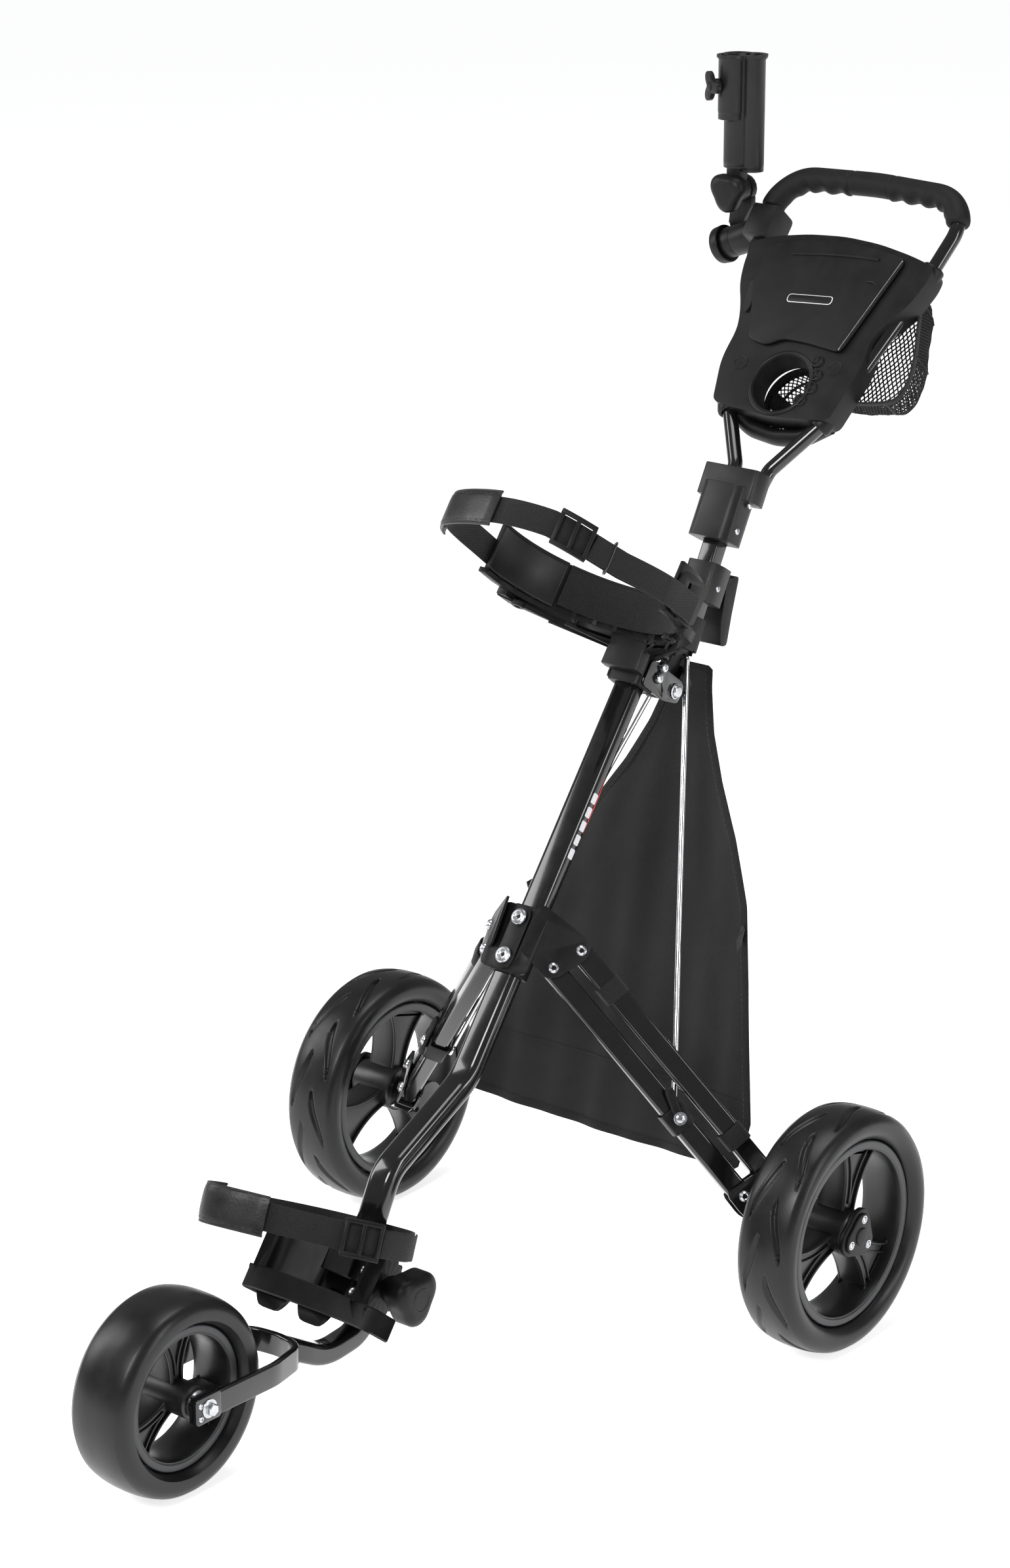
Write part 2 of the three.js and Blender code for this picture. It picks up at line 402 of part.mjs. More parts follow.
// cross-frame of the base: x, q forwards of the tube line, s along the tube line
const ls = (x, q, t) => onTube(t, q, x);
const BASE_S = -683, BASE_Q = 104;
const lbPlate = (shape, s0, s1) => plate(shape, onTube(0, 0), X, QT, s0, s1);
const bArc = (r, a0, a1, n) => Array.from({ length: n + 1 }, (_, i) => { const a = ((a0 + ((a1 - a0) * i) / n) * Math.PI) / 180; return [r * Math.sin(a), 112 - r * Math.cos(a)]; });
const lipLine = fillet([[74, 52, 0], [81, 100, 0], [48, 118, 0], [0, 124, 0], [-48, 118, 0], [-81, 100, 0], [-74, 52, 0]], [40, 16, 60, 200, 60, 16, 40].slice(1, 6), 4);
let base = join(
  lbPlate(roundPoly([[-19.8, 34], [19.8, 34], [19.8, 74], [-19.8, 74]], 5), -660, -616),
  wallIn(15.2, 19.8), wallIn(-19.8, -15.2),
  lbPlate(poly([...bArc(65.5, -92, 92, 12), ...bArc(62, -92, 92, 12).reverse()]), -684.3, -622),
  lbPlate(poly([...bArc(63.7, -78, 78, 10), [77, 105], [46, 117], [0, 122], [-46, 117], [-77, 105]]), -686, -682),
  // raised pad that the bag's bottom rests on
  lbPlate(roundPoly([[-42, 82], [42, 82], [42, 112], [-42, 112]], 3), -683, -681.2),
  sweep(lipLine.map((p) => onTube(-694, p.y, p.x)), rr(24, 4.5, 1.5, 1), () => UT),
  ...[1, -1].map((k) => plate(roundPoly([[-22, -683.5], [22, -683.5], [21, -706], [12, -719], [-12, -719], [-21, -706]], 5), onTube(0, 116.2, k * 27), X, UT, -4.3, 0)),
);
base = cut(
  base,
  sweep(tubePts, rr(TUBE_W + 2.4 * GAP, TUBE_H + 2.4 * GAP, TUBE_R, 3), X),
  cyl(V(FRONT_PIVOT), X, 17.8, -14.9, 14.9, 20),
  box(V(0, -394, 84), X, Y, 29.6, 100, -80, 30),
  cyl(V(FRONT_PIVOT), X, 5.5, -60, 60, 14),
  box(V(0, -374, 100), X, Y, 29.4, 44, -60, 13),
  cyl(V(FRONT_PIVOT), X, 31, 20.1, 26.2, 20),
);
put("lower_base", base, "plastic");
// hinge screw of the front arm with its clamp knob
const triKnob = (r) => Array.from({ length: 18 }, (_, i) => { const a = (i / 18) * 2 * Math.PI; const q = r * (1 + 0.13 * Math.cos(3 * (a - 0.5))); return [q * Math.cos(a), q * Math.sin(a)]; });
const FP = V(FRONT_PIVOT);
put("front_knob", join(plate(poly(triKnob(27)), V(48, FP.y, FP.z), Y, Z, 0, 26, 5), turned([[0, 0], [12, 0], [15, 20], [0, 20]], V(29, FP.y, FP.z), X, 20), cyl(FP, X, 5, -26, 40, 16)), "plastic");
const teeth = Array.from({ length: 30 }, (_, i) => { const a = (i / 30) * 2 * Math.PI, q = i % 3 === 0 ? 27 : 30; return [q * Math.cos(a), q * Math.sin(a)]; });
put("lock_disc", cut(plate(poly(teeth), V(20.6, FP.y, FP.z), Y, Z, 0, 5), cyl(FP, X, 5.5, -60, 60, 16)), "plastic");

// lower strap: one closed band round the base, a little lower at the front
const lowPts = [[0, 28], [38, 32], [62, 56], [78, 86], [74, 118], [52, 140], [22, 155], [-8, 165], [-46, 176], [-80, 184], [-99, 176], [-106, 150], [-100, 110], [-80, 62], [-46, 34]];
const lowCurve = new THREE.CatmullRomCurve3(lowPts.map(([x, q]) => onTube(-602 - 0.22 * q + 0.06 * x, q, x)), true, "centripetal");
const lowSpan = (a, b, n) => Array.from({ length: n + 1 }, (_, i) => lowCurve.getPointAt((a + ((b - a) * i) / n + 1) % 1));
const lowN = V(-0.06, 0, 0).addScaledVector(UT, 1).addScaledVector(QT, 0.22).normalize();
const lowOut = (a, i) => {
  const t = a[Math.min(i + 1, a.length - 1)].clone().sub(a[Math.max(i - 1, 0)]).normalize();
  return new THREE.Vector3().crossVectors(lowN, t).normalize();
};
put("lower_strap", sweep(lowSpan(0, 29 / 30, 29), rect(28, 2), lowN, true), "webbing");
put("lower_strap_pad", sweep(lowSpan(0.47, 0.68, 7).map((p, i, a) => p.clone().addScaledVector(lowOut(a, i), 4.9)), rr(38, 4.2, 1.5, 1), lowN), "leather");
put("lower_buckle", sweep(lowSpan(0.26, 0.32, 2).map((p, i, a) => p.clone().addScaledVector(lowOut(a, i), 4.6)), rr(36, 5, 2, 1), lowN), "plastic");

// ---------- handle ----------
const SD = V(0, 0.4815, 0.8765), SQ = V(0, -0.8765, 0.4815); // stem direction and its front side
const S0 = V(0, 143.8, 669.9);
const onStem = (s, q = 0, x = 0) => S0.clone().addScaledVector(SD, s).addScaledVector(SQ, q).add(V(x, 0, 0));
const stemLug = cut(
  join(
    plate(roundPoly([[-11, -2], [-6, -11], [8, -11], [30, 0], [50, 26], [60, 50], [40, 60], [14, 24], [-8, 10]], 5), V(PIVOT), Y, Z, -9, 9),
    box(onStem(-6, 0), X, SQ, 25, 25, -16, 20, 3),
  ),
  cyl(V(PIVOT), X, 4.4, -40, 40, 12),
  box(onStem(6, 0), X, SQ, 20 + 2 * GAP, 20 + 2 * GAP, -10, 60),
  // flats beside the ends of the link rods
  ...[1, -1].map((k) => box(V(k * 10.6, 121.6, 631.6), Y, Z, 36, 36, -5, 5)),
);
put("stem_lug", stemLug, "plastic");
put("handle_stem", box(onStem(0, 0), X, SQ, 20, 20, -3.6, 118, 3), "gloss");
const blockOut = [[-22, -16], [22, -16], [26, -8], [26, 14], [18, 20], [-18, 20], [-26, 14], [-26, -8]];
// connector block over the stem's top and the loop's two feet
const loopPts = fillet([[20, -10], [22, 10], [63, 77], [111, 265], [121, 322], [96, 352], [0, 356], [-96, 352], [-121, 322], [-111, 265], [-63, 77], [-22, 10], [-20, -10]].map(([x, h]) => V(HANDLE_ROOT).add(V(x, 0, 0)).addScaledVector(HD, h).addScaledVector(HN, -10).toArray()), [20, 60, 200, 45, 60, 400, 60, 45, 200, 60, 20], 2);
const loop = sweep(loopPts, disc(8, 8), (i, t) => HN);
put("handle_loop", loop, "gloss");
const block = cut(
  join(
    plate(roundPoly(blockOut, 3), onStem(112, 2), X, SQ, -16, 44),
    plate(roundPoly([[-34, -14], [34, -14], [37, 0], [34, 16], [-34, 16], [-37, 0]], 4), onStem(150, -2), X, SQ, -8, 26),
  ),
  sweep(loopPts, disc(8.7, 8), (i, t) => HN),
  box(onStem(0, 0), X, SQ, 20 + 2 * GAP, 20 + 2 * GAP, -10, 118.4),
);
put("connector_block", block, "satin");
const gripIdx = [];
loopPts.forEach((p, i) => { const h = p.clone().sub(V(HANDLE_ROOT)).dot(HD); if (h > 320) gripIdx.push(i); });
const gripPts = loopPts.slice(gripIdx[0], gripIdx[gripIdx.length - 1] + 1);
put("grip", cut(sweep(gripPts, disc(14, 10), (i, t) => HN), sweep(loopPts, disc(8.7, 8), (i, t) => HN)), "foam");
// latch at the stem
put("latch_block", cut(plate(roundPoly([[-17, -20], [17, -20], [20, 0], [17, 16], [-17, 16], [-20, 0]], 4), onStem(48, -2), X, SQ, -17, 24), box(onStem(0, 0), X, SQ, 20 + 2 * GAP, 20 + 2 * GAP, -20, 118)), "satin");
const LP = onStem(62, -27); // lever hinge
put("latch_lever", join(plate(roundPoly([[8, -4], [10, -12], [-30, -20], [-62, -28], [-66, -18], [-44, -6], [-4, 5]], 4), LP, SD, SQ, -15, 15), cyl(LP, X, 4.6, -15, 15, 14)), "plastic");

// ---------- console ----------
const hp = (x, h, n = 0) => V(HANDLE_ROOT).add(V(x, 0, 0)).addScaledVector(HD, h).addScaledVector(HN, n);
const conOut = [[-112, 263], [-88, 272], [-45, 280], [0, 283], [45, 280], [88, 272], [121, 263], [121, 246], [111, 214], [84, 174], [88, 138], [76, 72], [60, 69], [0, 64], [-60, 69], [-74, 72], [-86, 120], [-83, 160], [-92, 186], [-106, 212], [-112, 240]];
const bodyShape = roundPoly(conOut, 8, 1);
let con = plate(bodyShape, V(HANDLE_ROOT), X, HD, 0, 1);
const CUP = [0, 104], CUP_R = 33;
con = cut(
  join(plate(bodyShape, V(HANDLE_ROOT), X, HD, -22, 5), turned([[0, 0], [40, 0], [40, 14], [0, 14]], hp(CUP[0], CUP[1], -34), HN, 28)),
  cyl(hp(CUP[0], CUP[1], 0), HN, CUP_R, -60, 30, 28),
  sweep(loopPts, disc(8.7, 8), (i, t) => HN),
  plate(roundPoly([[-76, 258], [78, 258], [62, 190], [52, 160], [-52, 160], [-70, 190]], 8, 1), V(HANDLE_ROOT), X, HD, -17, 30),
);
put("console_body", con, "plastic");
const lidOut = [[-84, 262], [-45, 271], [0, 275], [45, 272], [88, 265], [57, 147], [13, 152], [-19, 153], [-36, 142], [-62, 147], [-69, 168], [-88, 222]];
put("console_lid", plate(roundPoly(lidOut, 6, 1), V(HANDLE_ROOT), X, HD, 5.4, 11, 1.2), "plastic");
// drinks pouch below the cup hole, open at the top
const pouch = cut(
  turned([[0, 0], [24, 2], [34, 14], [37, 30], [37, 52], [0, 52]], hp(CUP[0], CUP[1], -87), HN, 26),
  turned([[0, 4], [22, 6], [31, 16], [34, 30], [34, 70], [0, 70]], hp(CUP[0], CUP[1], -87), HN, 26),
);
put("drinks_pouch", pouch, "fabric");
// net basket on the console's right rear side
const netOut = roundPoly([[100, 252], [110, 214], [127, 166], [132, 138], [126, 116], [96, 108], [48, 104], [44, 150], [52, 210], [64, 246]], 10, 2);
const net = cut(plate(netOut, V(HANDLE_ROOT), X, HD, -60, -22.6), plate(roundPoly([[97, 248], [107, 212], [124, 166], [129, 138], [124, 119], [96, 111], [51, 107], [47, 150], [55, 209], [66, 243]], 9, 2), V(HANDLE_ROOT), X, HD, -57.5, 0));
put("mesh_basket", net, "webbing");

// ---------- umbrella holder ----------
const K = V(-113.5, 428, 1036); // on the left side of the loop
const SW = V(-161, 434, 1016), SA = V(-0.93, 0, -0.36).normalize(); // swivel joint and its axis, outwards
const clampDir = SA.clone();
const tubeHere = V(-0.17, 0.62, 0.76).normalize();
const clamp = cut(
  join(
    plate(roundPoly([[-20, -19], [20, -19], [20, 19], [-20, 19]], 5), hp(-115.6, 288, -10), HD, HN, -13, 17),
    cyl(SW, SA, 17, -30, -4, 20),
  ),
  sweep(loopPts, disc(8.7, 8), (i, t) => HN),
  M(sweep(gripPts, disc(14.5, 14), (i, t) => HN)),
  M(plate(bodyShape, V(HANDLE_ROOT), X, HD, -23, 6)),
  plate(roundPoly(lidOut, 6, 1), V(HANDLE_ROOT), X, HD, 5, 12),
);
put("umbrella_clamp", clamp, "plastic");
const TP = V(-161, 434, 1072); // tilt joint, axis along Y
const neck = cut(
  join(cyl(SW, SA, 17, -3.6, 9, 18), plate(roundPoly([[-19, -4], [0, -4], [3, 18], [13, 34], [13, 46], [-13, 46]], 3), V(-161, 445, 1020), X, Z, 0, 8), cyl(TP, Y, 15, 11, 19, 18)),
  cyl(SW, SA, 5.4, -10, 30, 12),
  cyl(TP, Y, 5.4, -40, 40, 12),
  cyl(SW, SA, 17.6, -40, -3.9, 16),
  cyl(SW, SA, 25, 8.9, 40, 16),
);
put("umbrella_neck", neck, "plastic");
put("swivel_knob", join(turned([[0, 12], [19, 12], [21, 9.6], [20, 20], [16, 24], [0, 25]].map(([r, h]) => [r, h]), SW, SA, 20), cyl(SW, SA, 5, -3, 14, 14)), "plastic");
const TUBE_Z0 = 1097, TUBE_Z1 = 1219;
const lobe = (r1, r2, dx) => join(cyl(V(-161, 436, 0), Z, r1, TUBE_Z0, TUBE_Z1, 20), cyl(V(-161 + dx, 436 + 6, 0), Z, r2, TUBE_Z0 - 4, TUBE_Z1, 20));
const umb = cut(
  join(lobe(15, 13, 15), cyl(TP, Y, 14, -5.6, 10.6, 18), box(V(-161, 436, TP.z), X, Y, 18, 14, 4, 30), cyl(V(-163, 425, 0), Z, 13.5, 1150, TUBE_Z1, 18),
    turned([[0, 0], [17.5, 0], [18, 3], [0, 3]], V(-161, 436, TUBE_Z1 - 3), Z, 20), turned([[0, 0], [15.5, 0], [16, 3], [0, 3]], V(-146, 442, TUBE_Z1 - 3), Z, 20), turned([[0, 0], [16, 0], [16, 3], [0, 3]], V(-163, 425, TUBE_Z1 - 3), Z, 20)),
  cyl(V(-161, 436, 0), Z, 12.4, TUBE_Z0 + 18, TUBE_Z1 + 10, 20), cyl(V(-146, 442, 0), Z, 10.6, TUBE_Z0 + 18, TUBE_Z1 + 10, 20), cyl(V(-163, 425, 0), Z, 11.3, 1158, TUBE_Z1 + 10, 18),
  cyl(TP, Y, 5.3, -60, 60, 14),
  cyl(V(-163, 425, 1186), V(-0.45, -0.89, 0), 3.3, 0, 40, 10),
);
put("umbrella_tube", umb, "satin");
put("tilt_knob", join(plate(poly(triKnob(20)), V(TP.x, TP.y - 23, TP.z), X, Z, 0, 16, 4), cyl(TP, Y, 5, -10, 20, 12)), "plastic");
const triStar = Array.from({ length: 36 }, (_, i) => { const a = (i / 36) * 2 * Math.PI; const q = 12.5 * (1 + 0.4 * Math.cos(3 * a)); return [q * Math.cos(a), q * Math.sin(a)]; });
const TS = V(-0.45, -0.89, 0).normalize(), TSO = V(-163, 425, 1186);
put("thumb_screw", join(plate(poly(triStar), TSO.clone().addScaledVector(TS, 20), new THREE.Vector3().crossVectors(TS, Z).multiplyScalar(-1).normalize(), Z, -6, 0), cyl(TSO, TS, 3, 8, 22, 10), cyl(TSO, TS, 8, 14.4, 20.5, 16)), "plastic");

// ---------- fabric apron ----------
// thin panel behind the legs, wide at the bottom and narrow at the top
const AP0 = V(0, 5, 157), APd = V(0, 153, 477).normalize();
const apOut = [[-174, 0], [174, 0], [178, 46], [143, 185], [121, 262], [91, 326], [60, 380], [38, 428], [24, 474], [20, 494], [-20, 494], [-24, 474], [-38, 428], [-60, 380], [-91, 326], [-121, 262], [-143, 185], [-178, 46]];
put("fabric_apron", plate(roundPoly(apOut, 6, 1), AP0, X, APd, -1, 1), "fabric");

group.position.y = ORIGIN_Y;
export default group;
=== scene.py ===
import json
import math
import random

import bmesh
import bpy
import numpy as np
from mathutils import Matrix, Vector


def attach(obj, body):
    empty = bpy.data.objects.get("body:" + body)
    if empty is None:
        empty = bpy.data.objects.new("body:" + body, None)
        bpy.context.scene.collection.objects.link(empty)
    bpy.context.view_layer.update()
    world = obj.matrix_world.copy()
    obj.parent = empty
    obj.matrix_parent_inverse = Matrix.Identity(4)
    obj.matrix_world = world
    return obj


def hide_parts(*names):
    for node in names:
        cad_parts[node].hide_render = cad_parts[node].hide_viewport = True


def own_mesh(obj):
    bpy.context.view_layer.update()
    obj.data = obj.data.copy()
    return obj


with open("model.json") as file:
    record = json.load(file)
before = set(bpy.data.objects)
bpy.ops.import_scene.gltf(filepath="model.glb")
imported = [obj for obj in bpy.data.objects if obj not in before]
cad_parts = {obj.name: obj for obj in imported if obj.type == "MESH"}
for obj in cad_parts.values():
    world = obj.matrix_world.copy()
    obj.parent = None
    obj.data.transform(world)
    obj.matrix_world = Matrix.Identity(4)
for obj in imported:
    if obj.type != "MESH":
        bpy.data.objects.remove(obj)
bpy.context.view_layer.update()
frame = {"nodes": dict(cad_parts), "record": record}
OY = 135.94  # the frame's shift along Y, in millimetres

X, Y, Z = Vector((1, 0, 0)), Vector((0, 1, 0)), Vector((0, 0, 1))


def V(*a):
    return Vector(a[0]) if len(a) == 1 else Vector(a)


UT, QT = V(0, 0.6022, 0.7983), V(0, -0.7983, 0.6022)
HD, HN = V(0, 0.6309, 0.7759), V(0, -0.7759, 0.6309)
SD, SQ = V(0, 0.4815, 0.8765), V(0, -0.8765, 0.4815)
TT, HR, S0 = V(0, 37.8, 620.7), V(0, 239, 820), V(0, 143.8, 669.9)


def on_tube(s, q=0, x=0):
    return TT + UT * s + QT * q + X * x


def on_stem(s, q=0, x=0):
    return S0 + SD * s + SQ * q + X * x


def hp(x, h, n=0):
    return HR + HD * h + HN * n + X * x


CO = on_tube(60, 25)


def cr(x, f, u=0):
    return CO + X * x + QT * f + UT * u


# ------------------------------------------------------------------ materials
def new_mat(name):
    m = bpy.data.materials.new(name)
    m.use_nodes = True
    nt = m.node_tree
    return m, nt, nt.nodes["Principled BSDF"]


def coords(nt, scale=(1, 1, 1)):
    t = nt.nodes.new("ShaderNodeTexCoord")
    mp = nt.nodes.new("ShaderNodeMapping")
    mp.inputs["Scale"].default_value = scale
    nt.links.new(t.outputs["Object"], mp.inputs["Vector"])
    return mp.outputs["Vector"]


def noise(nt, vec, scale, detail=3.0, rough=0.6):
    n = nt.nodes.new("ShaderNodeTexNoise")
    n.inputs["Scale"].default_value = scale
    n.inputs["Detail"].default_value = detail
    n.inputs["Roughness"].default_value = rough
    nt.links.new(vec, n.inputs["Vector"])
    return n.outputs["Fac"]


def ramp(nt, fac, stops):
    r = nt.nodes.new("ShaderNodeValToRGB")
    e = r.color_ramp.elements
    e[0].position, e[0].color = stops[0][0], (*stops[0][1], 1)
    e[1].position, e[1].color = stops[-1][0], (*stops[-1][1], 1)
    for p, c in stops[1:-1]:
        k = e.new(p)
        k.color = (*c, 1)
    nt.links.new(fac, r.inputs["Fac"])
    return r.outputs["Color"]


def maprange(nt, fac, a, b, lo=0.0, hi=1.0):
    r = nt.nodes.new("ShaderNodeMapRange")
    r.inputs["From Min"].default_value, r.inputs["From Max"].default_value = lo, hi
    r.inputs["To Min"].default_value, r.inputs["To Max"].default_value = a, b
    nt.links.new(fac, r.inputs["Value"])
    return r.outputs["Result"]


def bump(nt, bsdf, fac, strength, dist):
    b = nt.nodes.new("ShaderNodeBump")
    b.inputs["Strength"].default_value = strength
    b.inputs["Distance"].default_value = dist
    nt.links.new(fac, b.inputs["Height"])
    nt.links.new(b.outputs["Normal"], bsdf.inputs["Normal"])


def add(nt, a, b, op="ADD"):
    m = nt.nodes.new("ShaderNodeMath")
    m.operation = op
    for i, v in enumerate((a, b)):
        if isinstance(v, (int, float)):
            m.inputs[i].default_value = v
        else:
            nt.links.new(v, m.inputs[i])
    return m.outputs[0]


def solid_mat(name, c0, c1, rough, spread=0.06, metal=0.0, grain=900.0, gs=0.1, coat=0.0, spec=0.5, wear=40.0, dist=0.0004):
    m, nt, b = new_mat(name)
    v = coords(nt)
    big = noise(nt, v, wear, 4.0)
    nt.links.new(ramp(nt, big, [(0.3, c0), (0.7, c1)]), b.inputs["Base Color"])
    nt.links.new(maprange(nt, big, rough - spread, rough + spread, 0.3, 0.7), b.inputs["Roughness"])
    b.inputs["Metallic"].default_value = metal
    b.inputs["Coat Weight"].default_value = coat
    b.inputs["Coat Roughness"].default_value = 0.06
    b.inputs["Specular IOR Level"].default_value = spec
    bump(nt, b, noise(nt, v, grain, 2.0), gs, dist)
    return m


def woven(name, c0, c1, pitch, rough=0.9, strength=0.5, twill=False, sheen=0.3):
    m, nt, b = new_mat(name)
    v = coords(nt)
    k = 2 * math.pi / pitch
    sep = nt.nodes.new("ShaderNodeSeparateXYZ")
    nt.links.new(v, sep.inputs[0])
    sx, sy, sz = sep.outputs

    def sine(val, f):
        return add(nt, add(nt, val, f, "MULTIPLY"), 0.0, "SINE")

    if twill:
        d1 = add(nt, add(nt, sx, sy), sz)
        a = sine(d1, k * 0.7)
        c = sine(add(nt, sx, add(nt, sz, sy), "SUBTRACT"), k * 0.7)
        h = add(nt, a, add(nt, c, 0.35, "MULTIPLY"))
    else:
        a = sine(add(nt, sx, add(nt, sy, 0.6, "MULTIPLY")), k)
        c = sine(add(nt, sz, add(nt, sy, 0.8, "MULTIPLY")), k)
        h = add(nt, a, c, "MULTIPLY")
    fine = noise(nt, v, 3.0 / pitch, 2.0)
    hh = add(nt, add(nt, h, 0.25, "MULTIPLY"), fine)
    nt.links.new(ramp(nt, hh, [(0.2, c0), (0.85, c1)]), b.inputs["Base Color"])
    blotch = noise(nt, v, 14.0, 3.0)
    nt.links.new(maprange(nt, blotch, rough - 0.08, min(1.0, rough + 0.05), 0.3, 0.7), b.inputs["Roughness"])
    b.inputs["Sheen Weight"].default_value = sheen
    b.inputs["Sheen Roughness"].default_value = 0.5
    b.inputs["Specular IOR Level"].default_value = 0.25
    bump(nt, b, hh, strength, 0.0006)
    return m


GLOSS = solid_mat("gloss_paint_mat", (0.004, 0.004, 0.0045), (0.0065, 0.0065, 0.007), 0.14, 0.03, coat=0.5, grain=500, gs=0.03, dist=0.0002)
PLASTIC = solid_mat("black_plastic_mat", (0.0050, 0.0046, 0.0046), (0.0082, 0.0076, 0.0076), 0.42, 0.05, grain=1400, gs=0.16, spec=0.24)
SATIN = solid_mat("satin_plastic_mat", (0.0085, 0.0085, 0.009), (0.013, 0.013, 0.0135), 0.38, 0.05, grain=1200, gs=0.12, spec=0.3)
RIM = solid_mat("rim_plastic_mat", (0.030, 0.031, 0.033), (0.040, 0.041, 0.044), 0.40, 0.05, grain=1000, gs=0.10)
RIMBODY = solid_mat("rim_body_mat", (0.009, 0.009, 0.0095), (0.014, 0.014, 0.015), 0.34, 0.05, grain=900, gs=0.10)
TYRE = solid_mat("tyre_foam_mat", (0.0060, 0.0060, 0.0063), (0.0095, 0.0095, 0.010), 0.34, 0.05, grain=700, gs=0.12, spec=0.36)
CHROME = solid_mat("chrome_mat", (0.72, 0.72, 0.74), (0.82, 0.82, 0.83), 0.10, 0.03, metal=1.0, grain=300, gs=0.02, dist=0.0001)
ZINC = solid_mat("zinc_mat", (0.46, 0.47, 0.49), (0.62, 0.63, 0.65), 0.28, 0.06, metal=1.0, grain=600, gs=0.08, dist=0.0002)
FOAM = solid_mat("grip_foam_mat", (0.0065, 0.0063, 0.0064), (0.010, 0.0098, 0.010), 0.58, 0.05, grain=1600, gs=0.35, spec=0.2)
LEATHER = solid_mat("pad_leather_mat", (0.0055, 0.0053, 0.0054), (0.009, 0.0088, 0.009), 0.40, 0.07, grain=420, gs=0.40, spec=0.45, dist=0.0006)
THREAD = solid_mat("thread_mat", (0.03, 0.03, 0.032), (0.05, 0.05, 0.053), 0.7, 0.05, grain=3000, gs=0.3)
# near-black matte material that stands in for the shade inside recesses: painted shade
PAINTED_RECESS_SHADE = solid_mat("painted_recess_shade_mat", (0.004, 0.004, 0.004), (0.006, 0.006, 0.006), 0.8, 0.05)
WHITE = solid_mat("plain_mark_mat", (0.70, 0.71, 0.73), (0.76, 0.77, 0.79), 0.35, 0.05, grain=900, gs=0.05)
RED = solid_mat("plain_red_mat", (0.42, 0.012, 0.010), (0.50, 0.018, 0.014), 0.30, 0.05, grain=900, gs=0.05)
WEB = woven("webbing_mat", (0.0035, 0.0035, 0.004), (0.020, 0.020, 0.021), 0.0026, 0.85, 1.0, sheen=0.12)
CLOTH = woven("apron_cloth_mat", (0.0105, 0.0105, 0.011), (0.020, 0.020, 0.021), 0.0012, 0.80, 0.35, twill=True, sheen=0.10)
NET = woven("net_mat", (0.005, 0.005, 0.0055), (0.014, 0.014, 0.015), 0.0008, 0.8, 0.4, sheen=0.05)

SLOTS = {"gloss_paint": GLOSS, "black_plastic": PLASTIC, "satin_plastic": SATIN, "rim_plastic": RIM, "tyre_foam": TYRE,
         "chrome": CHROME, "zinc_steel": ZINC, "webbing": WEB, "pad_leather": LEATHER, "apron_fabric": CLOTH, "net": NET, "grip_foam": FOAM}
SLOT_OF = {m.name: s for s, m in SLOTS.items()}
SLOT_OF["rim_body_mat"] = "rim_plastic"
NODE_SLOT = {e["node"]: e["material_slot"] for e in frame["record"]["subparts"]}
BODY_OF = {n: b for b, ns in frame["record"]["behaviour"]["bodies"].items() for n in ns}
for name, ob in frame["nodes"].items():
    for s in ob.material_slots:
        s.link = "OBJECT"
        s.material = SLOTS[NODE_SLOT[name]]


# ------------------------------------------------------------------ mesh tools (millimetres, axle frame)
def build(name, verts, faces, mat, body, nodes=(), bevel=0.0, seg=2, smooth=35, sub=0, slot=None, tri=False, mirror=False):
    me = bpy.data.meshes.new(name)
    k = -1 if mirror else 1
    vs = [(k * v[0] / 1000, (v[1] + OY) / 1000, v[2] / 1000) for v in verts]
    fs = [tuple(reversed(f)) for f in faces] if mirror else faces
    me.from_pydata(vs, [], fs)
    me.validate()
    return wrap(name, me, mat, body, nodes, bevel, seg, smooth, sub)


def wrap(name, me, mat, body, nodes=(), bevel=0.0, seg=2, smooth=35, sub=0, weld=True):
    bm = bmesh.new()
    bm.from_mesh(me)
    if weld:
        bmesh.ops.remove_doubles(bm, verts=bm.verts, dist=2e-5)
    bmesh.ops.recalc_face_normals(bm, faces=bm.faces)
    bm.to_mesh(me)
    bm.free()
    o = bpy.data.objects.new(name, me)
    bpy.context.scene.collection.objects.link(o)
    me.materials.clear()
    me.materials.append(mat)
    if bevel:
        b = o.modifiers.new("b", "BEVEL")
        b.width, b.segments, b.limit_method, b.angle_limit = bevel / 1000, seg, "ANGLE", math.radians(32)
        b.harden_normals = False
    if sub:
        s = o.modifiers.new("s", "SUBSURF")
        s.levels = s.render_levels = sub
    if bevel or sub:
        bake(o)
    me = o.data
    me.polygons.foreach_set("use_smooth", [True] * len(me.polygons))
    me.set_sharp_from_angle(angle=math.radians(smooth))
    if body:
        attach(o, body)
    if nodes:
        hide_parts(*nodes)
    return o


def bake(o):
    dg = bpy.context.evaluated_depsgraph_get()
    dg.update()
    me = bpy.data.meshes.new_from_object(o.evaluated_get(dg))
    o.modifiers.clear()
    o.data = me


def copy_node(node):
    return frame["nodes"][node].data.copy()


def refine(node, bevel=0.8, seg=2, smooth=40, mat=None):
    """the CAD node's own shape with its edges rounded over"""
    me = copy_node(node)
    bm = bmesh.new()
    bm.from_mesh(me)
    bmesh.ops.remove_doubles(bm, verts=bm.verts, dist=3e-5)
    bmesh.ops.dissolve_limit(bm, angle_limit=math.radians(1.5), verts=bm.verts, edges=bm.edges)
    bm.to_mesh(me)
    bm.free()
    return wrap(node + "_fine", me, mat or SLOTS[NODE_SLOT[node]], BODY_OF[node], (node,), bevel, seg, smooth, weld=False)


def rr(w, h, r, n=6):
    pts = []
    r = min(r, w / 2 - 0.01, h / 2 - 0.01)
    for cx, cy, a0 in ((w / 2 - r, h / 2 - r, 0), (-w / 2 + r, h / 2 - r, 90), (-w / 2 + r, -h / 2 + r, 180), (w / 2 - r, -h / 2 + r, 270)):
        for i in range(n + 1):
            a = math.radians(a0 + 90 * i / n)
            pts.append((cx + r * math.cos(a), cy + r * math.sin(a)))
    return pts


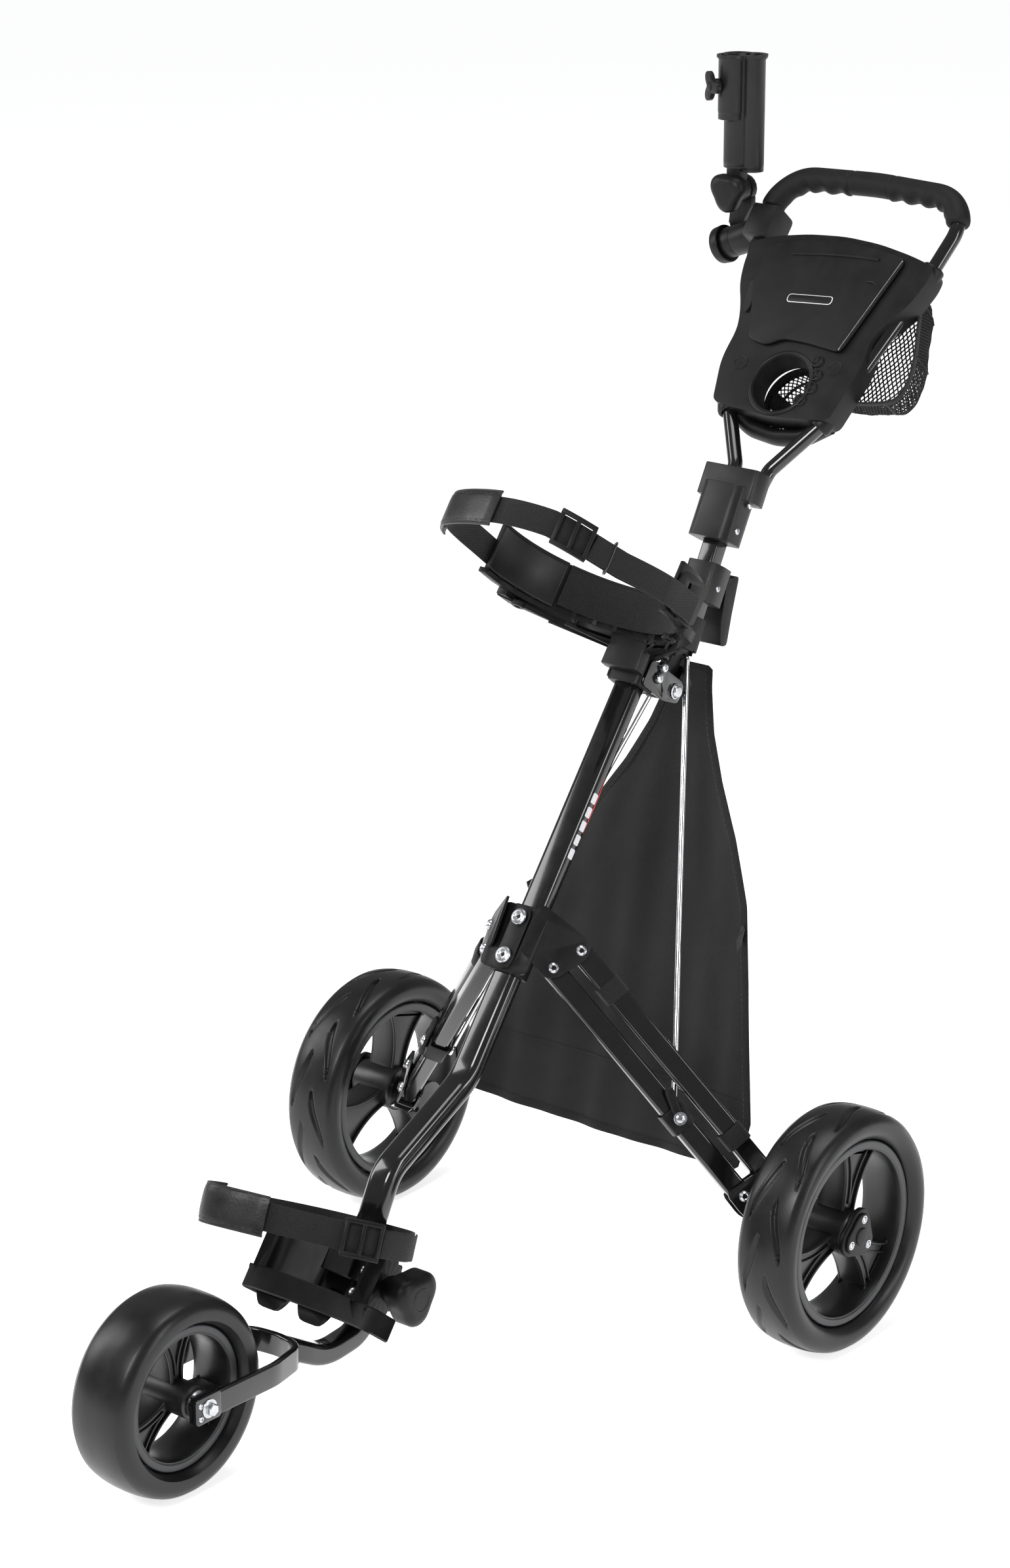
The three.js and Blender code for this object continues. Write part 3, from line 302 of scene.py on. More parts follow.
def ring(r, n=32, k=1.0):
    return [(r * math.cos(2 * math.pi * i / n), k * r * math.sin(2 * math.pi * i / n)) for i in range(n)]


def round_poly(pts, r, n=6):
    out, m = [], len(pts)
    P = [Vector((p[0], p[1])) for p in pts]
    for i in range(m):
        p, a, b = P[i], P[i - 1], P[(i + 1) % m]
        ri = min(r, (p - a).length / 2.2, (p - b).length / 2.2)
        s, e = p + (a - p).normalized() * ri, p + (b - p).normalized() * ri
        for k in range(n + 1):
            t = k / n
            q = s * (1 - t) ** 2 + p * (2 * t * (1 - t)) + e * t * t
            out.append((q.x, q.y))
    return out


def fillet(pts, radii, n=10):
    P = [Vector(p) for p in pts]
    out = [P[0]]
    for i in range(1, len(P) - 1):
        r = radii[i - 1] if isinstance(radii, (list, tuple)) else radii
        a, b = (P[i - 1] - P[i]).normalized(), (P[i + 1] - P[i]).normalized()
        half = a.angle(b) / 2
        cut = min(r / math.tan(half), (P[i] - P[i - 1]).length * 0.49, (P[i] - P[i + 1]).length * 0.49)
        s, e = P[i] + a * cut, P[i] + b * cut
        for k in range(n + 1):
            t = k / n
            out.append(s * (1 - t) ** 2 + P[i] * (2 * t * (1 - t)) + e * t * t)
    out.append(P[-1])
    return out


def spline(pts, n, closed=False):
    """smooth curve through the points, evenly stepped"""
    P = [Vector(p) for p in pts]
    m = len(P)
    dense = []
    segs = m if closed else m - 1
    for i in range(segs):
        p0 = P[(i - 1) % m] if closed or i > 0 else P[0] * 2 - P[1]
        p1, p2 = P[i], P[(i + 1) % m]
        p3 = P[(i + 2) % m] if closed or i + 2 < m else P[-1] * 2 - P[-2]
        for k in range(24):
            t = k / 24
            dense.append(0.5 * ((2 * p1) + (p2 - p0) * t + (2 * p0 - 5 * p1 + 4 * p2 - p3) * t * t + (3 * p1 - p0 - 3 * p2 + p3) * t ** 3))
    dense.append(P[0] if closed else P[-1])
    L = [0.0]
    for a, b in zip(dense, dense[1:]):
        L.append(L[-1] + (b - a).length)
    out = []
    steps = n if closed else n - 1
    j = 0
    for i in range(n):
        d = L[-1] * i / steps
        while j < len(L) - 2 and L[j + 1] < d:
            j += 1
        w = (d - L[j]) / max(1e-9, L[j + 1] - L[j])
        out.append(dense[j].lerp(dense[j + 1], min(1, max(0, w))))
    return out


def sweep(points, sec, side, closed=False, scale=None, caps=True):
    m, n = len(points), len(sec)
    verts, faces = [], []
    for i in range(m):
        if closed:
            t = (points[(i + 1) % m] - points[i - 1]).normalized()
        else:
            t = Vector()
            if i > 0:
                t += (points[i] - points[i - 1]).normalized()
            if i < m - 1:
                t += (points[i + 1] - points[i]).normalized()
            t.normalize()
        x = side(i, t) if callable(side) else side.copy()
        x = (x - t * x.dot(t)).normalized()
        y = t.cross(x)
        k = scale(i / max(1, m - 1)) if scale else 1.0
        for s in sec:
            verts.append(points[i] + x * (s[0] * k) + y * (s[1] * k))
    for i in range(m if closed else m - 1):
        for j in range(n):
            a, b = i * n + j, i * n + (j + 1) % n
            c, d = ((i + 1) % m) * n + j, ((i + 1) % m) * n + (j + 1) % n
            faces.append((a, b, d, c))
    if not closed and caps:
        faces.append(tuple(range(n - 1, -1, -1)))
        faces.append(tuple((m - 1) * n + j for j in range(n)))
    return verts, faces


def plate(outline, o, x, y, z0, z1, holes=()):
    """prism of an outline in the plane (x, y) at o, z0..z1 along the plane's upward (or rearward, or rightward) normal"""
    w = x.cross(y)
    e = 1e-6
    if w.z < -e or (abs(w.z) <= e and (w.y < -e or (abs(w.y) <= e and w.x < 0))):
        z0, z1 = -z1, -z0
    verts, faces = [], []
    n = len(outline)
    for z in (z0, z1):
        verts += [o + x * p[0] + y * p[1] + w * z for p in outline]
    for j in range(n):
        faces.append((j, (j + 1) % n, n + (j + 1) % n, n + j))
    if not holes:
        faces.append(tuple(range(n - 1, -1, -1)))
        faces.append(tuple(range(n, 2 * n)))
    else:
        from mathutils.geometry import delaunay_2d_cdt
        loops = [outline] + [list(h) for h in holes]
        co, edges, idx = [], [], 0
        for lp in loops:
            m = len(lp)
            co += [Vector((p[0], p[1])) for p in lp]
            edges += [(idx + i, idx + (i + 1) % m) for i in range(m)]
            idx += m
        vc, _, fc, *_ = delaunay_2d_cdt(co, edges, [], 1, 1e-4)

        def inside(pt, lp):
            c, m = False, len(lp)
            for i in range(m):
                a, b = lp[i], lp[i - 1]
                if (a[1] > pt[1]) != (b[1] > pt[1]) and pt[0] < (b[0] - a[0]) * (pt[1] - a[1]) / (b[1] - a[1]) + a[0]:
                    c = not c
            return c

        tris = []
        for f in fc:
            c = sum((vc[i] for i in f), Vector((0, 0))) / len(f)
            if inside(c, outline) and not any(inside(c, h) for h in holes):
                tris.append(f)
        verts, faces = [], []
        m = len(vc)
        for z in (z0, z1):
            verts += [o + x * p[0] + y * p[1] + w * z for p in vc]
        for f in tris:
            faces.append(tuple(reversed(f)))
            faces.append(tuple(m + i for i in f))
        count = {}
        for f in tris:
            for i in range(len(f)):
                a, b = f[i], f[(i + 1) % len(f)]
                count[(a, b)] = 1
        for (a, b) in count:
            if (b, a) not in count:
                faces.append((a, b, m + b, m + a))
    return verts, faces


def turned(profile, o, d, n=64, phase=0.0):
    d = d.normalized()
    a = X if abs(d.x) < 0.8 else Y
    x = a.cross(d).normalized()
    y = d.cross(x)
    verts, faces = [], []
    m = len(profile)
    for i in range(n):
        t = 2 * math.pi * i / n + phase
        u = x * math.cos(t) + y * math.sin(t)
        for r, h in profile:
            verts.append(o + u * r + d * h)
    for i in range(n):
        k = (i + 1) % n
        for j in range(m - 1):
            faces.append((i * m + j, k * m + j, k * m + j + 1, i * m + j + 1))
    return verts, faces


def merge(*parts):
    verts, faces = [], []
    for v, f in parts:
        b = len(verts)
        verts += list(v)
        faces += [tuple(b + i for i in q) for q in f]
    return verts, faces


def screw(o, d, r=5.0, h=2.6, cross=True):
    """a round-headed fastener"""
    prof = [(0, -0.5), (r, -0.5), (r, h * 0.25), (r * 0.93, h * 0.62), (r * 0.7, h * 0.9), (r * 0.35, h), (r * 0.3, h * 0.55), (0, h * 0.5)]
    return turned(prof, o, d, 28)


def both(fn):
    fn("right", False)
    fn("left", True)


# ------------------------------------------------------------------ frame tubes
tube_pts = fillet([(0, 50, 636.9), (0, -220, 279), (0, -339, 219), (0, -370, 160)], [75, 45], 14)
build("main_tube_fine", *sweep(tube_pts, rr(30, 21, 8, 7), X), GLOSS, "chassis", ("main_tube",), bevel=0.6)
# plain marks on the tube's side, standing in for printed ones
mk = [(-132, -4.2), (-108, -4.2), (-104, 2.6), (-128, 2.6)]
for i in range(5):
    s0 = -118 - i * 15.5
    build("tube_mark_%d" % i, *plate(round_poly([(s0, -3.6), (s0 + 11, -3.6), (s0 + 11, 4.4), (s0, 4.4)], 1.5), on_tube(0, 0, 15), UT, QT, -0.05, 0.18), WHITE, "chassis")
arc_pts = [(-150 + 62 * t, 1.4 - 6.5 * (1 - (2 * t - 1) ** 2) * 0 - 5.6 - 1.6 * math.sin(math.pi * t)) for t in np.linspace(0, 1, 14)]
red = [(s, q) for s, q in arc_pts] + [(s, q + 0.4 + 1.5 * math.sin(math.pi * i / 13)) for i, (s, q) in reversed(list(enumerate(arc_pts)))]
build("tube_mark_arc", *plate(red, on_tube(0, 0, 15), UT, QT, -0.3, 0.16), RED, "chassis")

loop_raw = [(20, -10), (22, 10), (63, 77), (111, 265), (121, 322), (96, 352), (0, 356), (-96, 352), (-121, 322), (-111, 265), (-63, 77), (-22, 10), (-20, -10)]
loop_pts = fillet([HR + X * x + HD * h - HN * 10 for x, h in loop_raw], [20, 60, 200, 45, 60, 400, 60, 45, 200, 60, 20], 10)
build("handle_loop_fine", *sweep(loop_pts, ring(8, 28), lambda i, t: HN), GLOSS, "handle", ("handle_loop",))
grip_line = [p for p in loop_pts if (p - HR).dot(HD) > (309 if p.x < 0 else 320)]
L = [0]
for a, b in zip(grip_line, grip_line[1:]):
    L.append(L[-1] + (b - a).length)
dense = []
NG = 190
j = 0
for i in range(NG):
    d = L[-1] * i / (NG - 1)
    while j < len(L) - 2 and L[j + 1] < d:
        j += 1
    dense.append(grip_line[j].lerp(grip_line[j + 1], (d - L[j]) / max(1e-9, L[j + 1] - L[j])))
gl = L[-1]


def grip_mesh():
    sec = ring(13.2, 40)
    verts, faces = sweep(dense, sec, lambda i, t: HN, caps=False)
    n = len(sec)
    out = []
    for i in range(NG):
        s = gl * i / (NG - 1)
        c = dense[i]
        mid = abs(s - gl / 2)
        end = min(s, gl - s)
        round_end = 1 - 0.26 * math.exp(-end / 1.6)
        seam = 1 - 0.07 * math.exp(-((mid - 26) / 1.3) ** 2)
        for jn in range(n):
            v = verts[i * n + jn]
            r = v - c
            down = max(0.0, -r.normalized().dot(HD))
            # finger waves on the underside of each half
            wave = 0.0
            if mid > 28 and end > 8:
                wave = 1.7 * math.cos((mid - 28) * 2 * math.pi / 23) * down ** 1.5
            out.append(c + r * (round_end * seam) + r.normalized() * wave)
    # inner ends close on to the tube
    caps = []
    for i, c in ((0, dense[0]), (NG - 1, dense[-1])):
        base = len(out)
        for jn in range(n):
            out.append(c + (out[i * n + jn] - c).normalized() * 8.05)
        for jn in range(n):
            k = (jn + 1) % n
            caps.append((i * n + jn, base + jn, base + k, i * n + k) if i == 0 else (i * n + jn, i * n + k, base + k, base + jn))
    return out, faces + caps


build("grip_fine", *grip_mesh(), FOAM, "handle", ("grip",), smooth=60)
build("handle_stem_fine", *plate(rr(20, 20, 3, 6), on_stem(0), X, SQ, -3.6, 118), GLOSS, "handle", ("handle_stem",), bevel=0.4)

# ------------------------------------------------------------------ legs
B, D, A = V(45.4, -133.5, 384.6), V(229.3, -52.6, 158.5), V(59.8, -106.7, 398.9)
C = A + D - B
ND = (D - B).normalized()
NN = V(0.718, -0.586, 0.375)
NN = (NN - ND * NN.dot(ND)).normalized()
NM = NN.cross(ND).normalized()
LEN = (D - B).length


def in_leg(p, d, m, n=0):
    return p + ND * d + NM * m + NN * n


def leg_plate(outline, p, n0, n1, holes=()):
    return plate(outline, p, ND, NM, n0, n1, holes)


def legs(side, mir):
    for nm, p in (("lower_leg_", B), ("upper_leg_", A)):
        out = round_poly([(-11, -11), (LEN + 11, -11), (LEN + 11, 11), (-11, 11)], 7, 6)
        sec = rr(22, 16, 3.4, 6)
        a, b = in_leg(p, -6, 0, -11), in_leg(p, LEN + 6, 0, -11)
        bar = sweep([a, b], sec, NM)
        build(nm + side + "_fine", *merge(bar, plate(ring(10.9, 40), in_leg(p, 0, 0, 0), ND, NM, -18.6, -3.4), plate(ring(10.9, 40), in_leg(p, LEN, 0, 0), ND, NM, -18.6, -3.4)), GLOSS, nm + side, (nm + side,), bevel=0.5, mirror=mir)
    anc = in_leg(B, 199, 0)
    strap = sweep([in_leg(B, 199, 12.0, -1.2), in_leg(B, 199, -12.0, -1.2), in_leg(B, 199, -12.7, -3.0), in_leg(B, 199, -12.7, -20.0), in_leg(B, 199, -11.0, -20.9), in_leg(B, 199, 10.8, -20.9)], rr(25.4, 1.7, 0.6, 2), ND)
    sd = -ND * 0.947 + NM * 0.323
    sleeve = sweep([anc - sd * 7.6 + NN * 3.0, anc - sd * 5 + NN * 3.0, anc + sd * 3 + NN * 3.0, anc + sd * 20 + NN * 3.0, anc + sd * 29 + NN * 2.6, anc + sd * 32.4 + NN * 1.6], rr(11.6, 7.0, 3.2, 6), NN.cross(sd), scale=lambda t: 0.62 if t == 0.0 else (0.70 if t == 1.0 else (1.0 if t < 0.4 else 0.86)))
    build("rod_sleeve_" + side, *merge(strap, sleeve), PLASTIC, "lower_leg_" + side, ("rod_anchor_" + side,), bevel=0.4, mirror=mir)
    build("rod_bolt_" + side, *merge(turned([(0, 5.0), (6.6, 5.0), (6.9, 5.6), (6.6, 6.3), (0, 6.6)], anc, NN, 36), screw(anc + NN * 6.3, NN, 5.0, 2.6)), ZINC, "lower_leg_" + side, mirror=mir)
    # webbing loop that holds the apron's tie on each upper leg
    for k, d in enumerate((52, 246)):
        c = in_leg(A, d, 0, -11)
        path = [c + NM * (12.4 * math.cos(t) if abs(math.cos(t)) < 1 else 12.4 * math.cos(t)) + NN * (9.6 * math.sin(t)) for t in np.linspace(0, 2 * math.pi, 40, endpoint=False)]
        path = [c + NM * p[0] + NN * p[1] for p in rr(25, 19, 5, 8)]
        build("leg_loop_%d_%s" % (k, side), *sweep(path, rr(20, 1.6, 0.5, 1), ND, closed=True), WEB, "upper_leg_" + side, smooth=50, mirror=mir)


both(legs)

U = V(9.5, 130.3, 643.6)
anchor_p = in_leg(B, 199, 0, -26.2)


def rods(side, mir):
    rd = (U - anchor_p).normalized()
    eye_x = ND
    path = [anchor_p + rd * 5.5, U - rd * 9, U - rd * 2 + X * 0.4, U + X * -2.2 + rd * 0.6, U - X * 5.6 + rd * 0.4]
    eye = []
    u = rd
    w = NN.cross(rd).normalized()
    circ = [anchor_p + (u * math.cos(t) + w * math.sin(t)) * 4.2 for t in np.linspace(0, 2 * math.pi, 36, endpoint=False)]
    build("link_rod_" + side + "_fine", *merge(sweep(fillet(path, [4, 3, 3], 6), ring(3, 24), NN), sweep(circ, ring(2.3, 16), NN, closed=True)), CHROME, "link_rod_" + side, ("link_rod_" + side,), smooth=60, mirror=mir)


both(rods)

# ------------------------------------------------------------------ wheels
WC = V(302, 0, 127)


def tread_depth(theta, x, h):
    """two staggered rows of long curved leaf-shaped grooves; x from -1 to 1 across the tyre, theta in turns"""
    d = 0.0
    for c, ph, sg in ((0.50, 0.0, 1), (-0.44, 0.5, -1)):
        u = ((theta * 10 + ph) % 1.0 - 0.5) / 0.44
        if abs(u) > 1:
            continue
        line = c + sg * (0.17 * math.sin(u * 1.9) + 0.10 * u)
        w = 0.115 * (1 - abs(u) ** 2.2) ** 0.8 * (1 - 0.35 * u)
        if w < 0.004:
            continue
        q = (x - line) * sg / w
        # one side falls steeply, the other slopes back up
        if q < -1.15 or q > 1.3:
            continue
        f = min(1.0, (q + 1.15) / 0.35) if q < 0 else max(0.0, 1 - (q / 1.3) ** 1.4)
        d = max(d, f * min(1.0, w / 0.05))
    return d


def tyre(R, w, rim_r, c, n, across, tread, flat=0.62):
    h = w / 2
    base = [(rim_r + 1, -h * 0.70), (rim_r + 3, -h * 0.82), (R - 22, -h * 0.97), (R - 13, -h), (R - 7, -h * 0.93), (R - 3.2, -h * 0.78)]
    m = across
    top = [(R - 3.2 * abs(t) ** 2.6, h * 0.78 * t) for t in np.linspace(-1, 1, m)]
    prof = base[:-1] + top + [(r, -x) for r, x in reversed(base[:-1])]
    lo = len(base) - 1
    verts, faces = [], []
    k = len(prof)
    for i in range(n):
        th = i / n
        a = 2 * math.pi * th
        u = Y * math.cos(a) + Z * math.sin(a)
        for jn, (r, x) in enumerate(prof):
            if tread and lo <= jn < lo + m:
                r = r - 2.8 * tread_depth(th, x / (h * 0.86), h)
            verts.append(c + u * r + X * x)
    for i in range(n):
        q = (i + 1) % n
        for jn in range(k):
            b = (jn + 1) % k
            faces.append((i * k + jn, q * k + jn, q * k + b, i * k + b))
    return verts, faces


def rim_ring(R, w, c):
    h = w / 2
    out = []
    for k in (1, -1):
        out.append(turned([(R - 8.6, k * (h - 4)), (R - 8.2, k * (h - 0.8)), (R - 6.8, k * (h + 0.2)), (R - 1.4, k * (h + 0.2)), (R - 0.2, k * (h - 0.8)), (R - 0.2, k * (h - 4)), (R - 8.6, k * (h - 4))], c, X, 128))
    return merge(*out)


def rim(R, w, hub_r, hub_w, c, bore, a0, wide=30, neck=10.5):
    """deep barrel, a hub, and three flared spokes with ribs along their curved edges"""
    h = w / 2
    parts = [turned([(R - 9.5, -h + 1), (R - 1, -h + 1), (R - 1, h - 1), (R - 9.5, h - 1), (R - 11, h - 8), (R - 12.4, 0), (R - 11, -h + 8), (R - 9.5, -h + 1)], c, X, 128)]
    hb = hub_w / 2
    parts.append(turned([(bore, -hb), (hub_r - 2, -hb), (hub_r, -hb + 2), (hub_r, hb - 2), (hub_r - 2, hb), (bore + 3, hb), (bore + 3, hb - 4), (bore, hb - 4), (bore, -hb)], c, X, 72))
    for k in range(3):
        th = math.radians(a0 + k * 120)
        u = Y * math.cos(th) + Z * math.sin(th)
        t = X.cross(u)
        r0, r1 = hub_r - 4, R - 11
        N = 16

        def hw(q):
            return neck + (wide - neck) * q ** 2.4

        edge = [(r0 + (r1 - r0) * i / N, hw(i / N)) for i in range(N + 1)]
        # the spoke's ends follow the barrel
        edge[-1] = (math.sqrt(max(1, (R - 11) ** 2 - hw(1) ** 2)), hw(1))
        out = [(a, -b) for a, b in edge] + [(R - 11, -hw(1) * 0.4), (R - 11, hw(1) * 0.4)] + [(a, b) for a, b in reversed(edge)]
        parts.append(plate(out, c, u, t, -h * 0.60, h * 0.50))
        for s_ in (1, -1):
            for face, z in ((1, h * 0.50), (-1, -h * 0.60)):
                line = [c + u * a + t * (s_ * (b - 1.6)) + X * (z + face * 1.4) for a, b in edge]
                parts.append(sweep(line, rr(2.6, 3.6, 1.0, 3), lambda i, tt: X.cross(tt)))
        # inner wishbone ribs that open towards the barrel
        for s_ in (1, -1):
            inner = [c + u * (r0 + 8 + (r1 - r0 - 10) * q) + t * (s_ * (1.0 + (wide * 0.52) * q ** 2.2)) + X * (h * 0.50 + 1.0) for q in np.linspace(0, 1, 14)]
            parts.append(sweep(inner, rr(2.2, 2.8, 0.9, 3), lambda i, tt: X.cross(tt)))
    return merge(*parts)


def rear_wheel(side, mir):
    b = "wheel_" + side
    build("rear_tyre_" + side + "_fine", *tyre(127, 66, 97, WC, 520, 44, True), TYRE, b, ("rear_tyre_" + side,), smooth=50, mirror=mir)
    build("rear_rim_" + side + "_fine", *rim(97, 50, 24, 52, WC, 6.4, 75), RIMBODY, b, ("rear_rim_" + side,), bevel=0.7, mirror=mir)
    build("rear_flange_" + side, *rim_ring(97, 50, WC), RIM, b, bevel=0.3, mirror=mir)
    tri = lambda r, n=60: [(r * (1 + 0.14 * math.cos(3 * (a - 1.3))) * math.cos(a), r * (1 + 0.14 * math.cos(3 * (a - 1.3))) * math.sin(a)) for a in np.linspace(0, 2 * math.pi, n, endpoint=False)]
    o = V(328.4, 0, 127)
    build("hub_cap_" + side + "_fine", *merge(plate(tri(25), o, Y, Z, 0, 6), plate(tri(21), o, Y, Z, 5.9, 9.2), turned([(0, 9), (10, 9), (9, 11), (0, 11.2)], o, X, 40)), PLASTIC, b, ("hub_cap_" + side,), bevel=1.2, seg=3, mirror=mir)
    for k in range(3):
        a = 1.3 + k * 2 * math.pi / 3
        p = o + Y * (17.5 * math.cos(a)) + Z * (17.5 * math.sin(a)) + X * 8.8
        build("hub_screw_%d_%s" % (k, side), *screw(p, X, 3.0, 1.6), ZINC, b, mirror=mir)
        build("hub_ring_%d_%s" % (k, side), *turned([(3.3, 0), (4.3, 0), (4.3, 0.7), (3.3, 0.7), (3.3, 0)], p, X, 32), WHITE, b, mirror=mir)


both(rear_wheel)
FC = V(0, -657, 100)
build("front_tyre_fine", *tyre(100, 70, 72, FC, 200, 40, False), TYRE, "front_wheel", ("front_tyre",), smooth=50)
build("front_rim_fine", *rim(72, 50, 17, 76, FC, 5.4, 90, wide=21, neck=8), RIMBODY, "front_wheel", ("front_rim",), bevel=0.6)
build("front_flange", *rim_ring(72, 50, FC), RIM, "front_wheel", bevel=0.3)
fork_path = fillet([(50, -672, 99), (50, -560, 97), (34, -508, 92), (0, -500, 90), (-34, -508, 92), (-50, -560, 97), (-50, -672, 99)], [60, 40, 40, 40, 60], 12)
fork_parts = [sweep(fork_path, rr(24, 7, 2, 4), lambda i, t: Z)]
for k in (1, -1):
    fork_parts.append(plate(rr(34, 27, 4), V(k * 50, -657, 99.5), Y, Z, -5.2, 5.2))
build("front_fork_fine", *merge(*fork_parts), GLOSS, "front_arm", ("front_fork",), bevel=0.8)
for k in (1, -1):
    s = "right" if k > 0 else "left"
    ax = V(k * 55.2, -657, 100)
    build("front_axle_nut_" + s, *merge(turned([(0, 0), (9.4, 0), (9.4, 1.6), (0, 1.6)], ax, V(k, 0, 0), 40), turned([(0, 1.6), (6.6, 1.6), (6.6, 6.6), (5.6, 7.6), (0, 7.8)], ax, V(k, 0, 0), 6)), ZINC, "front_arm", ("front_axle",) if k > 0 else (), bevel=0.4)
    build("front_hub_cone_" + s, *turned([(5.2, 0), (13, 0), (13, 1.6), (10, 3), (8, 6.2), (5.2, 6.2), (5.2, 0)], V(k * 38.7, -657, 100), V(k, 0, 0), 48), ZINC, "front_arm")
    for i, (dy, dz) in enumerate(((-11, 6), (-11, -7))):
        build("fork_rivet_%d_%s" % (i, s), *screw(V(k * 55.2, -657 + dy, 99.5 + dz), V(k, 0, 0), 3.0, 1.6), ZINC, "front_arm")
arm_pts = fillet([(0, -373, 113), (0, -378, 62), (0, -440, 56), (0, -495.4, 86)], [34, 70], 14)
build("front_arm_fine", *merge(sweep(arm_pts, rr(24, 22, 6, 6), X), turned([(0, -14), (17, -14), (17, 14), (0, 14)], V(0, -373, 113), X, 56)), GLOSS, "front_arm", ("front_arm",), bevel=0.8)

# ------------------------------------------------------------------ bag cradles, straps and pads
def arc(r, a0, a1, n, fc=115):
    return [(r * math.sin(math.radians(a)), fc - r * math.cos(math.radians(a))) for a in np.linspace(a0, a1, n)]


def band(r0, r1, a0, a1, n):
    return arc(r1, a0, a1, n) + list(reversed(arc(r0, a0, a1, n)))


def cr_plate(outline, u0, u1, holes=()):
    return plate(outline, cr(0, 0, 0), X, QT, u0, u1, holes)


refine("upper_cradle", 1.1, 2)
cradle_bits = [cr_plate(band(111.7, 116.6, -95, 95, 90), -4, 47)]
build("cradle_wall", *cradle_bits[0], PLASTIC, "chassis", (), bevel=1.2, seg=3)
build("cradle_pad_fine", *cr_plate(band(106.9, 110.8, -98, -48, 40), -3, 44), SATIN, "chassis", ("cradle_pad",), bevel=1.6, seg=3)
build("cradle_pad_edge", *sweep([cr(x, f, 45) for x, f in arc(108.9, -98, -48, 40)], ring(2.3, 12), UT), FOAM, "chassis", smooth=60)
build("cradle_lining_fine", *cr_plate(band(108.9, 110.6, -46, 84, 80), 2, 44), WEB, "chassis", ("cradle_lining",), bevel=0.4)
build("cradle_lining_edge", *sweep([cr(x, f, 45) for x, f in arc(110.2, -46, 84, 80)], ring(2.0, 10), UT), WEB, "chassis", smooth=60)
# printed dots are left plain; ribs stand on the web's face
for i, (x0, f0, x1, f1) in enumerate(((-84, 34, -30, -6), (-58, 40, -22, 2), (84, 34, 30, -6), (58, 40, 22, 2), (0, 2, 0, -18))):
    a, b = cr(x0, f0, -16.6), cr(x1, f1, -16.6)
    build("cradle_rib_%d" % i, *sweep([a, b], rr(2.6, 3.0, 0.8, 3), X if x0 else QT), PLASTIC, "chassis", bevel=0.4)
for k in (1, -1):
    s = "right" if k > 0 else "left"
    build("cradle_boss_" + s, *turned([(3.4, -16), (7.5, -16), (7.5, -20), (6.8, -21), (3.4, -21), (3.4, -16)], cr(k * 97, 74, 0), UT, 40), PLASTIC, "chassis", bevel=0.4)
    build("cradle_screw_" + s, *turned([(0, -17), (3.3, -17), (3.3, -19), (0, -19.4)], cr(k * 97, 74, 0), UT, 24), ZINC, "chassis")

strap_raw = [(-117.2, 112), (-118, 152), (-117, 178), (-111, 206), (-97, 229), (-74, 244), (-45, 254), (-14, 258), (12, 255), (38, 247), (62, 233), (84, 212), (102, 192), (118, 170), (127, 146), (128.4, 118), (128.2, 96)]


def strap_lift(x):
    return 15 - 8 * min(1, max(0, (x - 40) / 60))


NS = 240
strap_line = [cr(p.x, p.y, strap_lift(p.x) + 1.2 * math.sin(i / NS * 14)) for i, p in enumerate(spline([(x, f, 0) for x, f in strap_raw], NS))]


def ribbon(line, w, t, side, inset=0.0):
    return sweep(line, rr(w, t, t * 0.3, 2), side)


build("upper_strap_fine", *ribbon(strap_line, 28, 1.9, UT), WEB, "chassis", ("upper_strap",), smooth=50)


def out_of(line, i, n):
    t = (line[min(i + 1, len(line) - 1)] - line[max(i - 1, 0)]).normalized()
    return t.cross(n).normalized()


